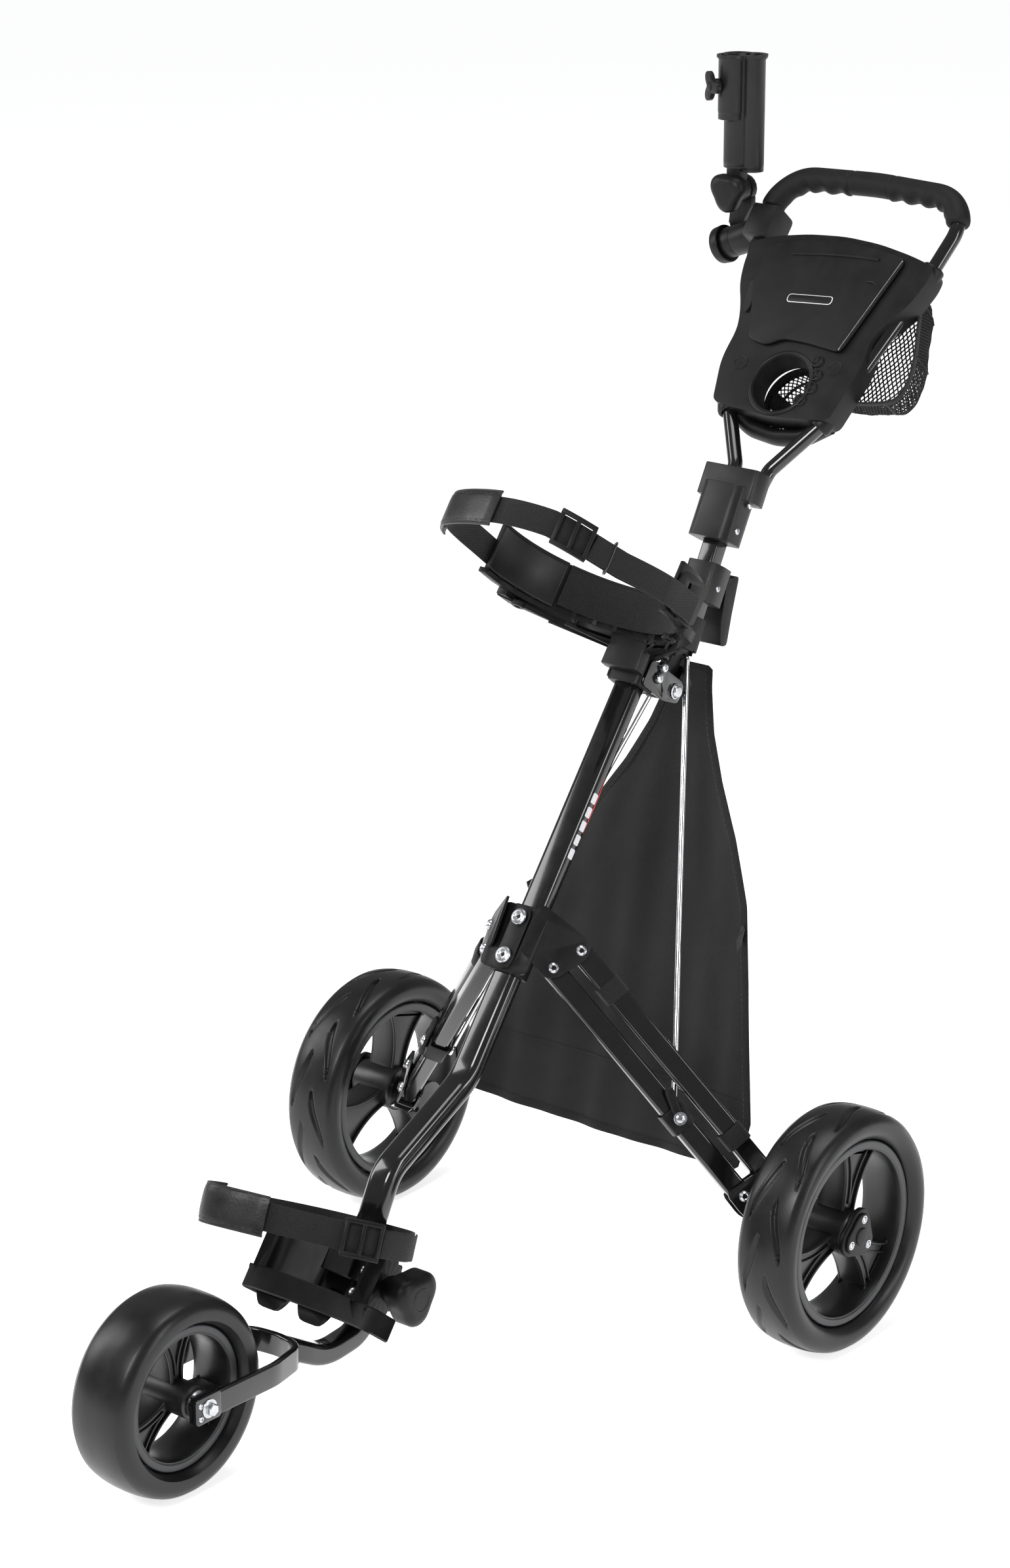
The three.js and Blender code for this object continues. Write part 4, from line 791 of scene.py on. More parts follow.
def pad(name, line, n, w, t, off, body, node, sgn=1):
    """stitched padded sleeve along a strap, with piped edges"""
    m = len(line)
    cen = [p + out_of(line, i, n) * (sgn * off) for i, p in enumerate(line)]
    na = 25
    verts, faces = [], []
    rows = []
    for i, p in enumerate(cen):
        u = i / (m - 1)
        o = out_of(line, i, n) * sgn
        end = min(u, 1 - u) * m
        ek = min(1.0, 0.35 + 0.65 * min(1, end / 5))
        for face in (1, -1):
            for j in range(na):
                v = -1 + 2 * j / (na - 1)
                edge = 1 - abs(v)
                crown = (1 - abs(v) ** 3.2) ** 0.6 if abs(v) < 1 else 0
                q = abs(v) - 0.80
                stitch = -0.5 * math.exp(-(q / 0.045) ** 2)
                quilt = 0.35 * math.sin(u * 21 + 1.3 * v) * crown
                hgt = (0.35 + (t / 2 - 0.35) * crown) * ek + (stitch + quilt) * (0.8 if crown > 0.3 else 0)
                verts.append(p + n * (w / 2 * v) + o * (face * max(0.3, hgt)))
    for i in range(m - 1):
        a, b = i * 2 * na, (i + 1) * 2 * na
        for j in range(na - 1):
            faces.append((a + j, a + j + 1, b + j + 1, b + j))
            faces.append((a + na + j + 1, a + na + j, b + na + j, b + na + j + 1))
        faces.append((a + na, a, b, b + na))
        faces.append((a + na - 1, a + 2 * na - 1, b + 2 * na - 1, b + na - 1))
    for i in (0, m - 1):
        a = i * 2 * na
        for j in range(na - 1):
            q = (a + j, a + na + j, a + na + j + 1, a + j + 1)
            faces.append(q if i == 0 else tuple(reversed(q)))
    o = build(name, verts, faces, LEATHER, body, (node,), smooth=60)
    for k in (1, -1):
        build("%s_piping_%s" % (name, "a" if k > 0 else "b"), *sweep([p + n * (k * w / 2) for p in cen], ring(1.35, 10), n), LEATHER, body, smooth=60)
        # thread stitches
        st = []
        for i in range(2, m - 4, 4):
            o2 = out_of(line, i, n) * sgn
            a = cen[i] + n * (k * w / 2 * 0.80) + o2 * (t / 2 * 0.72)
            b = cen[i + 2] + n * (k * w / 2 * 0.80) + out_of(line, i + 2, n) * sgn * (t / 2 * 0.72)
            st.append(sweep([a, a.lerp(b, 0.5) + o2 * 0.15, b], ring(0.32, 6), n))
        build("%s_thread_%s" % (name, "a" if k > 0 else "b"), *merge(*st), THREAD, body, smooth=60)
    return o


i0, i1 = int(0.20 * NS), int(0.46 * NS)
# which side is outwards on the upper loop
c_mid = cr(0, 130, 14)
tmp = out_of(strap_line, (i0 + i1) // 2, UT)
SG = 1 if tmp.dot(strap_line[(i0 + i1) // 2] - c_mid) > 0 else -1
pad("upper_pad_fine", strap_line[i0:i1], UT, 36, 5.2, 3.8, "chassis", "upper_strap_pad", SG)


def buckle(name, line, n, w, body, node, sgn):
    """ladder-lock buckle: two side bars and three cross bars"""
    m = len(line)
    cen = [p + out_of(line, i, n) * (sgn * 4.0) for i, p in enumerate(line)]
    parts = []
    for k in (1, -1):
        parts.append(sweep([p + n * (k * (w / 2 - 2.4)) for p in cen], rr(5, 4.6, 1.6, 4), n))
    for f in (0.05, 0.5, 0.95):
        i = int(f * (m - 1))
        c = cen[i]
        t = (line[min(i + 1, m - 1)] - line[max(i - 1, 0)]).normalized()
        parts.append(sweep([c - n * (w / 2 - 2), c + n * (w / 2 - 2)], rr(4.6, 4.0, 1.5, 4), t))
    build(name, *merge(*parts), PLASTIC, body, (node,), bevel=0.3)


b0, b1 = int(0.60 * NS), int(0.69 * NS)
buckle("upper_buckle_fine", strap_line[b0:b1], UT, 38, "chassis", "upper_buckle", SG)
# wire keeper and the free end of the webbing
k0 = int(0.735 * NS)
kc = strap_line[k0]
kt = (strap_line[k0 + 1] - strap_line[k0 - 1]).normalized()
ko = out_of(strap_line, k0, UT) * SG
build("strap_keeper", *sweep([kc + UT * p[0] + ko * p[1] for p in rr(33, 7.5, 2.5, 6)], ring(1.3, 10), kt, closed=True), GLOSS, "chassis", smooth=60)
tail = [p + out_of(strap_line, i + b1, UT) * (SG * (2.4 + 1.2 * math.sin(i / 9))) for i, p in enumerate(strap_line[b1:b1 + 46])]
build("upper_strap_tail", *ribbon(tail, 26, 1.6, UT), WEB, "chassis", smooth=50)

# lower base and strap
refine("lower_base", 1.0, 2)
low_raw = [(0, 28), (38, 32), (62, 56), (78, 86), (74, 118), (52, 140), (22, 155), (-8, 165), (-46, 176), (-80, 184), (-99, 176), (-106, 150), (-100, 110), (-80, 62), (-46, 34)]
NL = 300
low_line = spline([on_tube(-602 - 0.22 * q + 0.06 * x, q, x) for x, q in low_raw], NL, closed=True)
low_n = (UT + QT * 0.22 - X * 0.06).normalized()
build("lower_strap_fine", *sweep(low_line, rr(28, 1.9, 0.5, 2), low_n, closed=True), WEB, "chassis", ("lower_strap",), smooth=50)
l0, l1 = int(0.47 * NL), int(0.68 * NL)
c_low = on_tube(-620, 110, 0)
tmp = out_of(low_line, (l0 + l1) // 2, low_n)
SL = 1 if tmp.dot(low_line[(l0 + l1) // 2] - c_low) > 0 else -1
pad("lower_pad_fine", low_line[l0:l1], low_n, 38, 5.0, 3.8, "chassis", "lower_strap_pad", SL)
q0, q1 = int(0.26 * NL), int(0.33 * NL)
buckle("lower_buckle_fine", low_line[q0:q1], low_n, 38, "chassis", "lower_buckle", SL)
tail = [p + out_of(low_line, i + q0 - 44, low_n) * (SL * (2.4 + 1.0 * math.sin(i / 8))) for i, p in enumerate(low_line[q0 - 44:q0])]
build("lower_strap_tail", *ribbon(tail, 26, 1.6, low_n), WEB, "chassis", smooth=50)

# ------------------------------------------------------------------ console
loop_at = [(63, 77), (111, 265)]
con_raw = [(-112, 263), (-88, 272), (-45, 280), (0, 283), (45, 280), (88, 272), (121, 263), (121, 246), (111, 214), (84, 174), (88, 138), (76, 72), (60, 69), (0, 64), (-60, 69), (-74, 72), (-86, 120), (-83, 160), (-92, 186), (-106, 212), (-112, 240)]
con_out = round_poly(con_raw, 14, 6)
lid_raw = [(-84, 262), (-45, 271), (0, 275), (45, 272), (88, 265), (57, 147), (13, 152), (-19, 153), (-36, 142), (-62, 147), (-69, 168), (-88, 222)]
CUP = (0, 104)


def console_shell():
    """moulded shell: a flat face rolled over at its outline, with a hole for the drinks holder"""
    hole = [(CUP[0] + 33 * math.cos(a), CUP[1] + 33 * math.sin(a)) for a in np.linspace(0, 2 * math.pi, 72, endpoint=False)]
    o = build("console_body_fine", *plate(con_out, HR, X, HD, -22, 5, (hole,)), PLASTIC, "handle", ("console_body",), bevel=4.5, seg=5, smooth=40)
    return o


console_shell()
# rolled rim round the cup hole and its throat
build("cup_rim", *turned([(33.4, -24), (33.4, 4.6), (34.2, 6.6), (36.2, 7.2), (38.2, 6.4), (39, 4.6), (39, -24), (33.4, -24)], hp(0, 104), HN, 96), PLASTIC, "handle", bevel=0.5, smooth=50)
# bulge under the console's lower edge
bul = fillet([hp(-62, 76, -20), hp(-34, 60, -26), hp(0, 56, -28), hp(34, 60, -26), hp(62, 76, -20)], [40, 60, 40], 10)
build("console_chin", *sweep(bul, ring(11, 28, 0.8), HN), PLASTIC, "handle", smooth=60)
# sleeves where the handle's tubes leave the console
for k in (1, -1):
    s = "right" if k > 0 else "left"
    lo = [HR + X * (k * x) + HD * h - HN * 10 for x, h in ((59, 69), (66, 84))]
    hi = [HR + X * (k * x) + HD * h - HN * 10 for x, h in ((106, 245), (111.5, 268))]
    d0 = (lo[1] - lo[0])
    build("console_foot_" + s, *turned([(8.3, -3), (11.4, -3), (12.4, 0), (12.4, d0.length), (8.3, d0.length), (8.3, -3)], lo[0], d0, 40), PLASTIC, "handle", bevel=0.5)
    d1 = (hi[1] - hi[0])
    build("console_sleeve_" + s, *turned([(8.3, 0), (13.2, 0), (12.6, d1.length - 1), (11.2, d1.length + 1), (8.3, d1.length + 1), (8.3, 0)], hi[0], d1, 40), PLASTIC, "handle", bevel=0.5)


def lid():
    out = round_poly(lid_raw, 9, 6)
    v, f = plate(out, HR, X, HD, 5.5, 10.4)
    o = build("console_lid_fine", v, f, PLASTIC, "console_lid", ("console_lid",), bevel=1.9, seg=4, smooth=40)


lid()
# raised bar, latch bump, finger scoop and a plain oblong badge on the lid
bar = [hp(-51 + 108 * t, 251.5 + 2.2 * math.sin(math.pi * t) + 7.5 * t, 10.4) for t in np.linspace(0, 1, 24)]
build("lid_bar", *sweep(bar, ring(2.1, 12, 0.8), HN), PLASTIC, "console_lid", smooth=60)
bmp = [hp(52 + 16 * t, 231 + 3 * math.sin(math.pi * t) - 3 * t, 10.3) for t in np.linspace(0, 1, 14)]
build("lid_catch", *sweep(bmp, ring(2.4, 12, 0.7), HN, scale=lambda u: 0.25 + 0.75 * math.sin(math.pi * min(1, max(0, u)))), PLASTIC, "console_lid", smooth=60)
build("lid_badge", *plate(round_poly([(-34, 195), (22, 199), (22, 209), (-34, 205)], 4.5), HR, X, HD, 10.2, 10.75), WHITE, "console_lid", bevel=0.15)
build("lid_badge_field", *plate(round_poly([(-33.1, 195.8), (21.1, 199.7), (21.1, 208.2), (-33.1, 204.3)], 3.8), HR, X, HD, 10.5, 10.95), PLASTIC, "console_lid", bevel=0.1)
# hinge strip beside the lid: a slim rod along the hinge line and the fixed rim beyond it
build("lid_hinge_rod", *sweep([hp(54.6, 150, 9.9), hp(84.6, 262, 9.9)], ring(0.7, 12), HN), ZINC, "console_lid", smooth=60)
build("lid_side_strip", *plate(round_poly([(60.6, 147), (69, 148.5), (98.5, 252), (91.6, 264)], 4, 5), HR, X, HD, 2.6, 4.7), PLASTIC, "handle", bevel=1.4, seg=3)
scoop = round_poly([(-92, 214), (-84.5, 216), (-77, 186), (-80, 176), (-86, 182)], 5, 5)
# the finger scoop is a near-black plate: painted shade in the hollow
build("lid_scoop", *plate(scoop, HR, X, HD, 4.6, 7.4), PAINTED_RECESS_SHADE, "handle", bevel=1.0, seg=3)
# tee holders: short collars with three-armed springs, and two round recesses
for i, (x, h) in enumerate(((33, 135), (38.5, 119.5), (38.5, 104), (32, 88.5))):
    build("tee_hole_%d" % i, *turned([(0, 4.9), (4.6, 5.0), (5.0, 5.6), (5.8, 7.0), (6.8, 6.9), (7.6, 4.8)], hp(x, h), HN, 36), SATIN, "handle", smooth=50)
    arms = []
    for k in range(3):
        a = math.radians(90 + 120 * k + 12 * i)
        u = X * math.cos(a) + HD * math.sin(a)
        arms.append(sweep([hp(x, h, 5.6), hp(x, h, 5.6) + u * 4.9], rr(1.5, 1.2, 0.3, 2), HN))
    # springs and hole floor in the near-black material: painted shade at the bottom of each tee hole
    build("tee_spring_%d" % i, *merge(*arms, turned([(0, 5.15), (4.9, 5.25), (4.9, 5.1), (0, 5.0)], hp(x, h), HN, 30)), PAINTED_RECESS_SHADE, "handle")
for i, (x, h) in enumerate(((-60, 119), (57, 130))):
    build("console_recess_%d" % i, *turned([(0, 5.05), (1.2, 5.05), (1.4, 5.35), (1.6, 5.05), (7.2, 5.05), (7.6, 5.6), (8.4, 5.7), (8.9, 5.0)], hp(x, h), HN, 48), PLASTIC, "handle", smooth=50)


def strands(paths, r, side=None):
    parts = []
    for pth in paths:
        if len(pth) > 1:
            parts.append(sweep(pth, ring(r, 5), side or HN.cross(V(0.31, 0.2, 0.9)).normalized()))
    return merge(*parts)


def net_of_revolution():
    n, m = 40, 13
    def at(i, j):
        t = max(0.02, min(1.0, j / m))
        r = 36.2 * (1 - (1 - t) ** 2.6) ** 0.5
        a = 2 * math.pi * i / n
        k = 1 + 0.02 * math.sin(5 * a + 2 * t) * math.sin(math.pi * t)
        return hp(0, 104) + (X * math.cos(a) + HD * math.sin(a)) * (r * k) + HN * (-86.4 + 49 * t)
    paths = []
    for i in range(n):
        paths.append([at(i + 0.5 * j, j) for j in range(m + 1)])
        paths.append([at(i - 0.5 * j, j) for j in range(m + 1)])
    return strands(paths, 0.75)


# drinks holder: webbing hoop and cloth-bound net bag under the hole
def pouch():
    prof = []
    for t in np.linspace(0, 1, 30):
        r = 37 * (1 - (1 - t) ** 2.6) ** 0.5 if t < 1 else 37
        prof.append((max(0.3, r - 1.2), -87 + 50 * t))
    v, f = turned(prof, hp(0, 104), HN, 72)
    out = []
    for i, p in enumerate(v):
        a = i // len(prof) / 72 * 2 * math.pi
        q = (i % len(prof)) / len(prof)
        r = p - (hp(0, 104) + HN * ((p - hp(0, 104)).dot(HN)))
        out.append(p + r * (0.025 * math.sin(5 * a + 2 * q) * math.sin(math.pi * q)))
    o = build("drinks_net", *net_of_revolution(), NET, "handle", ("drinks_pouch",), smooth=60)
    for nm, z, h in (("a", -38, 13), ("b", -60, 3)):
        rr0 = 36.9
        build("drinks_hoop_" + nm, *turned([(rr0, z - h / 2), (rr0 + 1.3, z - h / 2), (rr0 + 1.3, z + h / 2), (rr0, z + h / 2), (rr0, z - h / 2)], hp(0, 104), HN, 72), CLOTH if nm == "a" else WEB, "handle", smooth=60)
    # two crossed webbing straps under the bottle
    for k in (0, 1):
        line = []
        for t in np.linspace(-1, 1, 40):
            x = 36 * math.sin(t * math.pi / 2)
            d = -40 - 46.5 * (1 - abs(math.sin(t * math.pi / 2)) ** 2.8) ** 0.5
            line.append(hp(0, 104) + (X if k else HD) * x + HN * d)
        build("drinks_strap_%d" % k, *ribbon(line, 20, 1.3, HD if k else X), WEB, "handle", smooth=60)


pouch()


# net basket: a sagging bag of knotted net with a bound edge
def basket():
    outl = round_poly([(101, 252), (111, 214), (127, 168), (131.5, 139), (126, 117), (96, 109), (50, 105), (45, 150), (53, 210), (64, 246)], 16, 8)
    # even steps round the outline
    pts = [V(x, h, 0) for x, h in outl]
    n = 104
    line = spline(pts, n, closed=True)
    verts, faces = [], []
    depth = 8
    top, bot = -23.2, -59.4
    rings = []
    cx = sum(p.x for p in line) / n
    ch = sum(p.y for p in line) / n
    rnd = random.Random(4)
    for j in range(depth + 1):
        t = j / depth
        row = []
        for i, p in enumerate(line):
            k = 1 - 0.06 * t - 0.10 * max(0, t - 0.75) * 4 * 0.6
            wob = 0.012 * math.sin(i * 0.42 + 3 * t) + 0.008 * math.sin(i * 1.1 + 5 * t)
            k += wob * t
            x, h = cx + (p.x - cx) * k, ch + (p.y - ch) * k
            row.append(len(verts))
            verts.append(hp(x, h, top + (bot - top) * t + (1.2 * math.sin(i * 0.5) * (1 - t) * t)))
        rings.append(row)
    for j in range(depth):
        for i in range(n):
            k = (i + 1) % n
            faces.append((rings[j][i], rings[j][k], rings[j + 1][k], rings[j + 1][i]))
    # floor of the bag: rings closing towards the middle
    prev = rings[-1]
    m = 13
    for q in range(1, m + 1):
        t = q / m
        row = []
        for i in range(n):
            p = line[i]
            k = 0.90 * (1 - t) + 0.0
            k = 0.88 * (1 - t)
            x, h = cx + (p.x - cx) * k, ch + (p.y - ch) * k
            dn = bot - 0.4 * math.sin(math.pi * t)
            dn += 2.2 * math.sin(i * 0.36 + 6 * t) * (1 - t) * t + 1.6
            row.append(len(verts))
            verts.append(hp(x, h, max(-59.8, dn)))
        for i in range(n):
            k2 = (i + 1) % n
            faces.append((prev[i], prev[k2], row[k2], row[i]))
        prev = row
    faces.append(tuple(prev))
    # knotted diamonds: strands that cross the wall both ways
    def wall(i, j):
        t = min(1.0, max(0.0, j / depth))
        i %= n
        a, b2, w = int(i) % n, (int(i) + 1) % n, i - int(i)
        lo_ = min(depth, int(j))
        return verts[rings[lo_][a]].lerp(verts[rings[lo_][b2]], w)
    paths = []
    for i in range(0, n):
        paths.append([wall(i + 0.5 * j, j) for j in range(depth + 1)])
        paths.append([wall(i - 0.5 * j, j) for j in range(depth + 1)])
    # floor of the bag: a diamond grid cut to the outline
    fl = [(cx + (p.x - cx) * 0.915, ch + (p.y - ch) * 0.915) for p in line]

    def within(x, y):
        c = False
        for i in range(len(fl)):
            a, b2 = fl[i], fl[i - 1]
            if (a[1] > y) != (b2[1] > y) and x < (b2[0] - a[0]) * (y - a[1]) / (b2[1] - a[1]) + a[0]:
                c = not c
        return c

    def sagged(x, y):
        return hp(x, y, bot + 0.6 + 1.1 * (1 + math.sin(x * 0.13 + y * 0.07)) * 0.5 + 1.2 * (1 + math.sin(y * 0.21)) * 0.5)
    for sg in (1, -1):
        for off in np.arange(-260, 420, 5.6):
            run = []
            for q in np.arange(90, 262, 2.0):
                x = sg * (q - 180) * 0.62 + off
                if within(x, q):
                    run.append(sagged(x, q))
                elif run:
                    paths.append(run)
                    run = []
            if run:
                paths.append(run)
    build("net_basket_fine", *strands(paths, 0.8, V(0.3, 0.9, 0.2).normalized()), NET, "handle", ("mesh_basket",), smooth=60)
    rim_line = [V(*p) for p in [verts[rings[depth][i]] for i in range(n)]]
    build("net_bottom_cord", *sweep(rim_line, ring(1.1, 8), HN, closed=True), NET, "handle", smooth=60)
    edge = [hp(p.x, p.y, top + 0.3) for p in line]
    build("net_edge", *sweep(edge, rr(7, 2.2, 1, 3), HN, closed=True), WEB, "handle", smooth=60)
    for k in (8, 26, 44, 74):
        c0 = [verts[rings[j][k]] for j in range(depth + 1)]
        build("net_seam_%d" % k, *sweep(c0, rr(4.5, 1.8, 0.6, 2), HN.cross((c0[-1] - c0[0]).normalized()) if False else X), WEB, "handle", smooth=60)


basket()

# ------------------------------------------------------------------ handle blocks and lever
refine("connector_block", 1.6, 3)
for k in (1, -1):
    s = "right" if k > 0 else "left"
    for i, (st, q) in enumerate(((110, 6), (140, 2))):
        x = 26.0 if i == 0 else 29.0
        build("block_screw_%d_%s" % (i, s), *screw(on_stem(st, q, k * x), V(k, 0, 0), 3.6, 2.0), ZINC, "handle")
refine("latch_block", 1.4, 3)
for k in (1, -1):
    build("latch_screw_" + ("right" if k > 0 else "left"), *screw(on_stem(48, -2, k * 19.4), V(k, 0, 0), 3.4, 1.8), ZINC, "handle")
refine("latch_lever", 1.6, 3)
LPT = on_stem(62, -27)
for i, s in enumerate((-20, -30, -40)):
    build("lever_rib_%d" % i, *sweep([LPT + SD * s - SQ * (17.5 + 2.3 * i) - X * 11, LPT + SD * s - SQ * (17.5 + 2.3 * i) + X * 11], rr(2.6, 2.6, 1.0, 3), SD), PLASTIC, "latch_lever", bevel=0.3)
refine("stem_lug", 0.9, 2)
refine("top_collar", 1.6, 3)
for k in (1, -1):
    s = "right" if k > 0 else "left"
    build("collar_screw_" + s, *screw(on_tube(20, 4, k * 21), V(k, 0, 0), 3.6, 2.0), ZINC, "chassis")
refine("hinge_channel", 0.7, 2)
bolts = []
for k in (1, -1):
    bolts.append(turned([(0, 0), (8.2, 0), (8.2, 1.2), (6.8, 1.4), (6.8, 3.6), (5.0, 5.0), (0, 5.2)], V(k * 24.5, 91.7, 618.8), V(k, 0, 0), 36))
    for i, (y, z) in enumerate(((68.5, 649.8), (60.2, 640.4))):
        build("channel_bolt_%d_%s" % (i, "right" if k > 0 else "left"), *screw(V(k * 28.3, y, z), V(k, 0, 0), 4.4, 2.0), ZINC, "chassis")
build("hinge_bolt_fine", *merge(*bolts, turned([(0, -24), (4, -24), (4, 24), (0, 24)], V(0, 91.7, 618.8), X, 32)), ZINC, "chassis", ("hinge_bolt",), bevel=0.3)
# webbing wrap that ties the apron's top to the rods
wr = [V(0, 118, 620) + X * p[0] + V(0, 0.85, 0.53) * p[1] for p in rr(34, 26, 10, 10)]
build("apron_top_tie", *sweep(wr, rr(20, 1.6, 0.5, 1), V(0, -0.53, 0.85), closed=True), WEB, "chassis", smooth=60)

# ------------------------------------------------------------------ brackets
refine("mid_bracket", 0.8, 2)
for i, s in enumerate((-256, -297.8)):
    build("mid_rivet_%d" % i, *turned([(0, 3.0), (8.6, 3.0), (9.0, 4.2), (8.2, 5.8), (5.6, 6.8), (5.0, 5.2), (2.6, 5.0), (2.2, 4.4), (0, 4.4)], on_tube(s, 17), QT, 48), ZINC, "chassis", bevel=0.2)
RIV = [(0, 0), (5.9, 0), (5.7, 1.6), (4.6, 3.0), (3.2, 3.9), (2.4, 3.2), (0, 3.0)]


def bracket_rivets(side, mir):
    for nm, p in (("a", A), ("b", B)):
        build("wing_rivet_%s_%s" % (nm, side), *turned(RIV, p, NN, 40), ZINC, "chassis", mirror=mir)
    for nm, p in (("c", C), ("d", D)):
        build("foot_rivet_%s_%s" % (nm, side), *turned(RIV, p, NN, 40), ZINC, "axle_" + side, mirror=mir)
    refine("axle_bracket_" + side, 0.8, 2)
    build("rear_axle_" + side + "_fine", *turned([(0, 238), (5, 238), (6, 239), (6, 327), (5, 328), (0, 328)], V(0, 0, 127), X, 40), ZINC, "axle_" + side, ("rear_axle_" + side,), mirror=mir)


both(bracket_rivets)

# front knob and lock disc
FP = V(0, -373, 113)
tri_k = lambda r, k=0.13, ph=0.5, n=72: [(r * (1 + k * math.cos(3 * (a - ph))) * math.cos(a), r * (1 + k * math.cos(3 * (a - ph))) * math.sin(a)) for a in np.linspace(0, 2 * math.pi, n, endpoint=False)]


def domed(outline_fn, r, o, x, y, h, dome, steps=7, k=0.13, ph=0.5):
    """a domed lobed knob: the outline drawn in towards the top in steps"""
    w = x.cross(y)
    sgn = 1
    loops = []
    for i in range(steps + 1):
        t = i / steps
        a = t * math.pi / 2
        rr_ = r - dome * (1 - math.cos(a))
        zz = h - dome * 0.9 + dome * 0.9 * math.sin(a)
        loops.append((rr_, zz))
    prof = [(r * 0.93, 0), (r, 1.6)] + loops
    verts, faces = [], []
    n = 72
    for q, (rad, z) in enumerate(prof):
        for p in outline_fn(rad, k, ph, n):
            verts.append(o + x * p[0] + y * p[1] + w * z)
    for q in range(len(prof) - 1):
        for j in range(n):
            k2 = (j + 1) % n
            faces.append((q * n + j, q * n + k2, (q + 1) * n + k2, (q + 1) * n + j))
    faces.append(tuple(range(n - 1, -1, -1)))
    faces.append(tuple((len(prof) - 1) * n + j for j in range(n)))
    return verts, faces


build("front_knob_fine", *merge(domed(tri_k, 27, FP + X * 48, Y, Z, 26, 11), turned([(0, 29), (12, 29), (14, 33), (15, 48.5), (0, 48.5)], FP, X, 48), turned([(0, 25.8), (6, 25.8), (6, 30), (0, 30)], FP, X, 32)), PLASTIC, "front_knob", ("front_knob",), smooth=42, bevel=0.3)
build("front_knob_ring", *turned([(10.6, 73.6), (11.6, 74.4), (12.6, 73.6), (12.6, 72.8), (10.6, 72.8), (10.6, 73.6)], FP, X, 48), SATIN, "front_knob", smooth=60)
teeth = []
for i in range(144):
    a = 2 * math.pi * i / 144
    q = 28.6 + 1.4 * max(-1, min(1, 2.2 * math.sin(a * 18)))
    teeth.append((q * math.cos(a), q * math.sin(a)))
build("lock_disc_fine", *plate(teeth, FP + X * 20.6, Y, Z, 0, 5, ([(5.6 * math.cos(a), 5.6 * math.sin(a)) for a in np.linspace(0, 2 * math.pi, 32, endpoint=False)],)), PLASTIC, "chassis", ("lock_disc",), bevel=0.5)
for k, (s, q, x) in enumerate(((-648, 56, 19.8), (-672, 60, 19.8))):
    build("base_rivet_%d" % k, *turned(RIV, on_tube(s, q, x), X, 32), ZINC, "chassis")

# ------------------------------------------------------------------ umbrella holder
refine("umbrella_clamp", 1.4, 3)
refine("umbrella_neck", 1.2, 3)
SW, SA = V(-161, 434, 1016), V(-0.93, 0, -0.36).normalized()
TP = V(-161, 434, 1072)
parts = [turned([(0, 12.6), (6, 11.4), (18.6, 10.2), (20.6, 9.6), (21, 11), (20.2, 20), (19.2, 20.6), (18.4, 20.4), (18.0, 17), (7, 16.5), (6, 24), (4.6, 25), (0, 25)], SW, SA, 72)]
x_, y_ = SA.cross(Y).normalized(), Y
for i in range(6):
    a = math.radians(60 * i)
    u = x_ * math.cos(a) + y_ * math.sin(a)
    parts.append(sweep([SW + SA * 18.2 + u * 6, SW + SA * 18.2 + u * 18.4], rr(1.8, 4.4, 0.5, 2), SA.cross(u)))
build("swivel_knob_fine", *merge(*parts), PLASTIC, "swivel_knob", ("swivel_knob",), smooth=45, bevel=0.2)
build("umbrella_tube_base", *merge(*[turned(p, o, Z, 64) for p, o in (
    ([(0, 1096), (12, 1096), (15, 1099), (15.2, 1104), (15.2, 1213), (17.2, 1215.6), (17.6, 1218.4), (16.8, 1219), (12.6, 1218.6), (12.4, 1213), (12.4, 1116), (0, 1115)], V(-161, 436, 0)),
    ([(0, 1093), (10, 1093), (13, 1096), (13.2, 1101), (13.2, 1213), (15.2, 1215.6), (15.6, 1218.4), (14.8, 1219), (10.9, 1218.6), (10.6, 1213), (10.6, 1116), (0, 1115)], V(-146, 442, 0)),
)]), SATIN, "umbrella_tube", (), smooth=50)
refine("umbrella_tube", 0.9, 3)
build("umbrella_pocket_end", *turned([(0, 1146.4), (5, 1147.2), (10, 1149.6), (13, 1154), (13.9, 1159), (13.9, 1214), (15.4, 1216.4), (15.8, 1218.6), (13.6, 1218.9), (11.6, 1218), (11.4, 1214), (11.4, 1160), (0, 1158)], V(-163, 425, 0), Z, 64), SATIN, "umbrella_tube", smooth=50)
kv, kf = domed(lambda r, k, ph, n: [(p[0], p[1]) for p in tri_k(r, k, ph, n)], 20.4, TP - Y * 7.2, X, Z, 16, 9)
# X cross Z points to -Y, so the dome faces the front
build("tilt_knob_fine", *merge((kv, kf), turned([(0, -8), (8, -8), (8, -5.4), (0, -5.4)], TP, Y, 32)), PLASTIC, "tilt_knob", ("tilt_knob",), smooth=45, bevel=0.3)
TS, TSO = V(-0.45, -0.89, 0).normalized(), V(-163, 425, 1186)
star = lambda r, k=0.40, ph=0.0, n=84: [(r * (1 + k * math.cos(3 * (a - ph))) * math.cos(a), r * (1 + k * math.cos(3 * (a - ph))) * math.sin(a)) for a in np.linspace(0, 2 * math.pi, n, endpoint=False)]
sx = TS.cross(Z).normalized() * -1
build("thumb_screw_fine", *merge(plate(star(12.5), TSO + TS * 20, sx, Z, -6, 0), turned([(0, 14.6), (8, 14.6), (8.4, 16), (8, 20.5), (0, 20.5)], TSO, TS, 48), turned([(0, 8), (3, 8), (3, 22), (0, 22)], TSO, TS, 24), turned([(0, 25.6), (5, 25.6), (4.4, 27.2), (0, 27.6)], TSO, TS, 36)), PLASTIC, "thumb_screw", ("thumb_screw",), bevel=1.0, seg=3)

# ------------------------------------------------------------------ apron
AP0, APD = V(0, 5, 157), V(0, 153, 477).normalized()
APN = V(0, -APD.z, APD.y)
half = [(0, 174), (46, 178), (185, 143), (262, 121), (326, 91), (380, 60), (428, 38), (474, 24), (494, 20)]


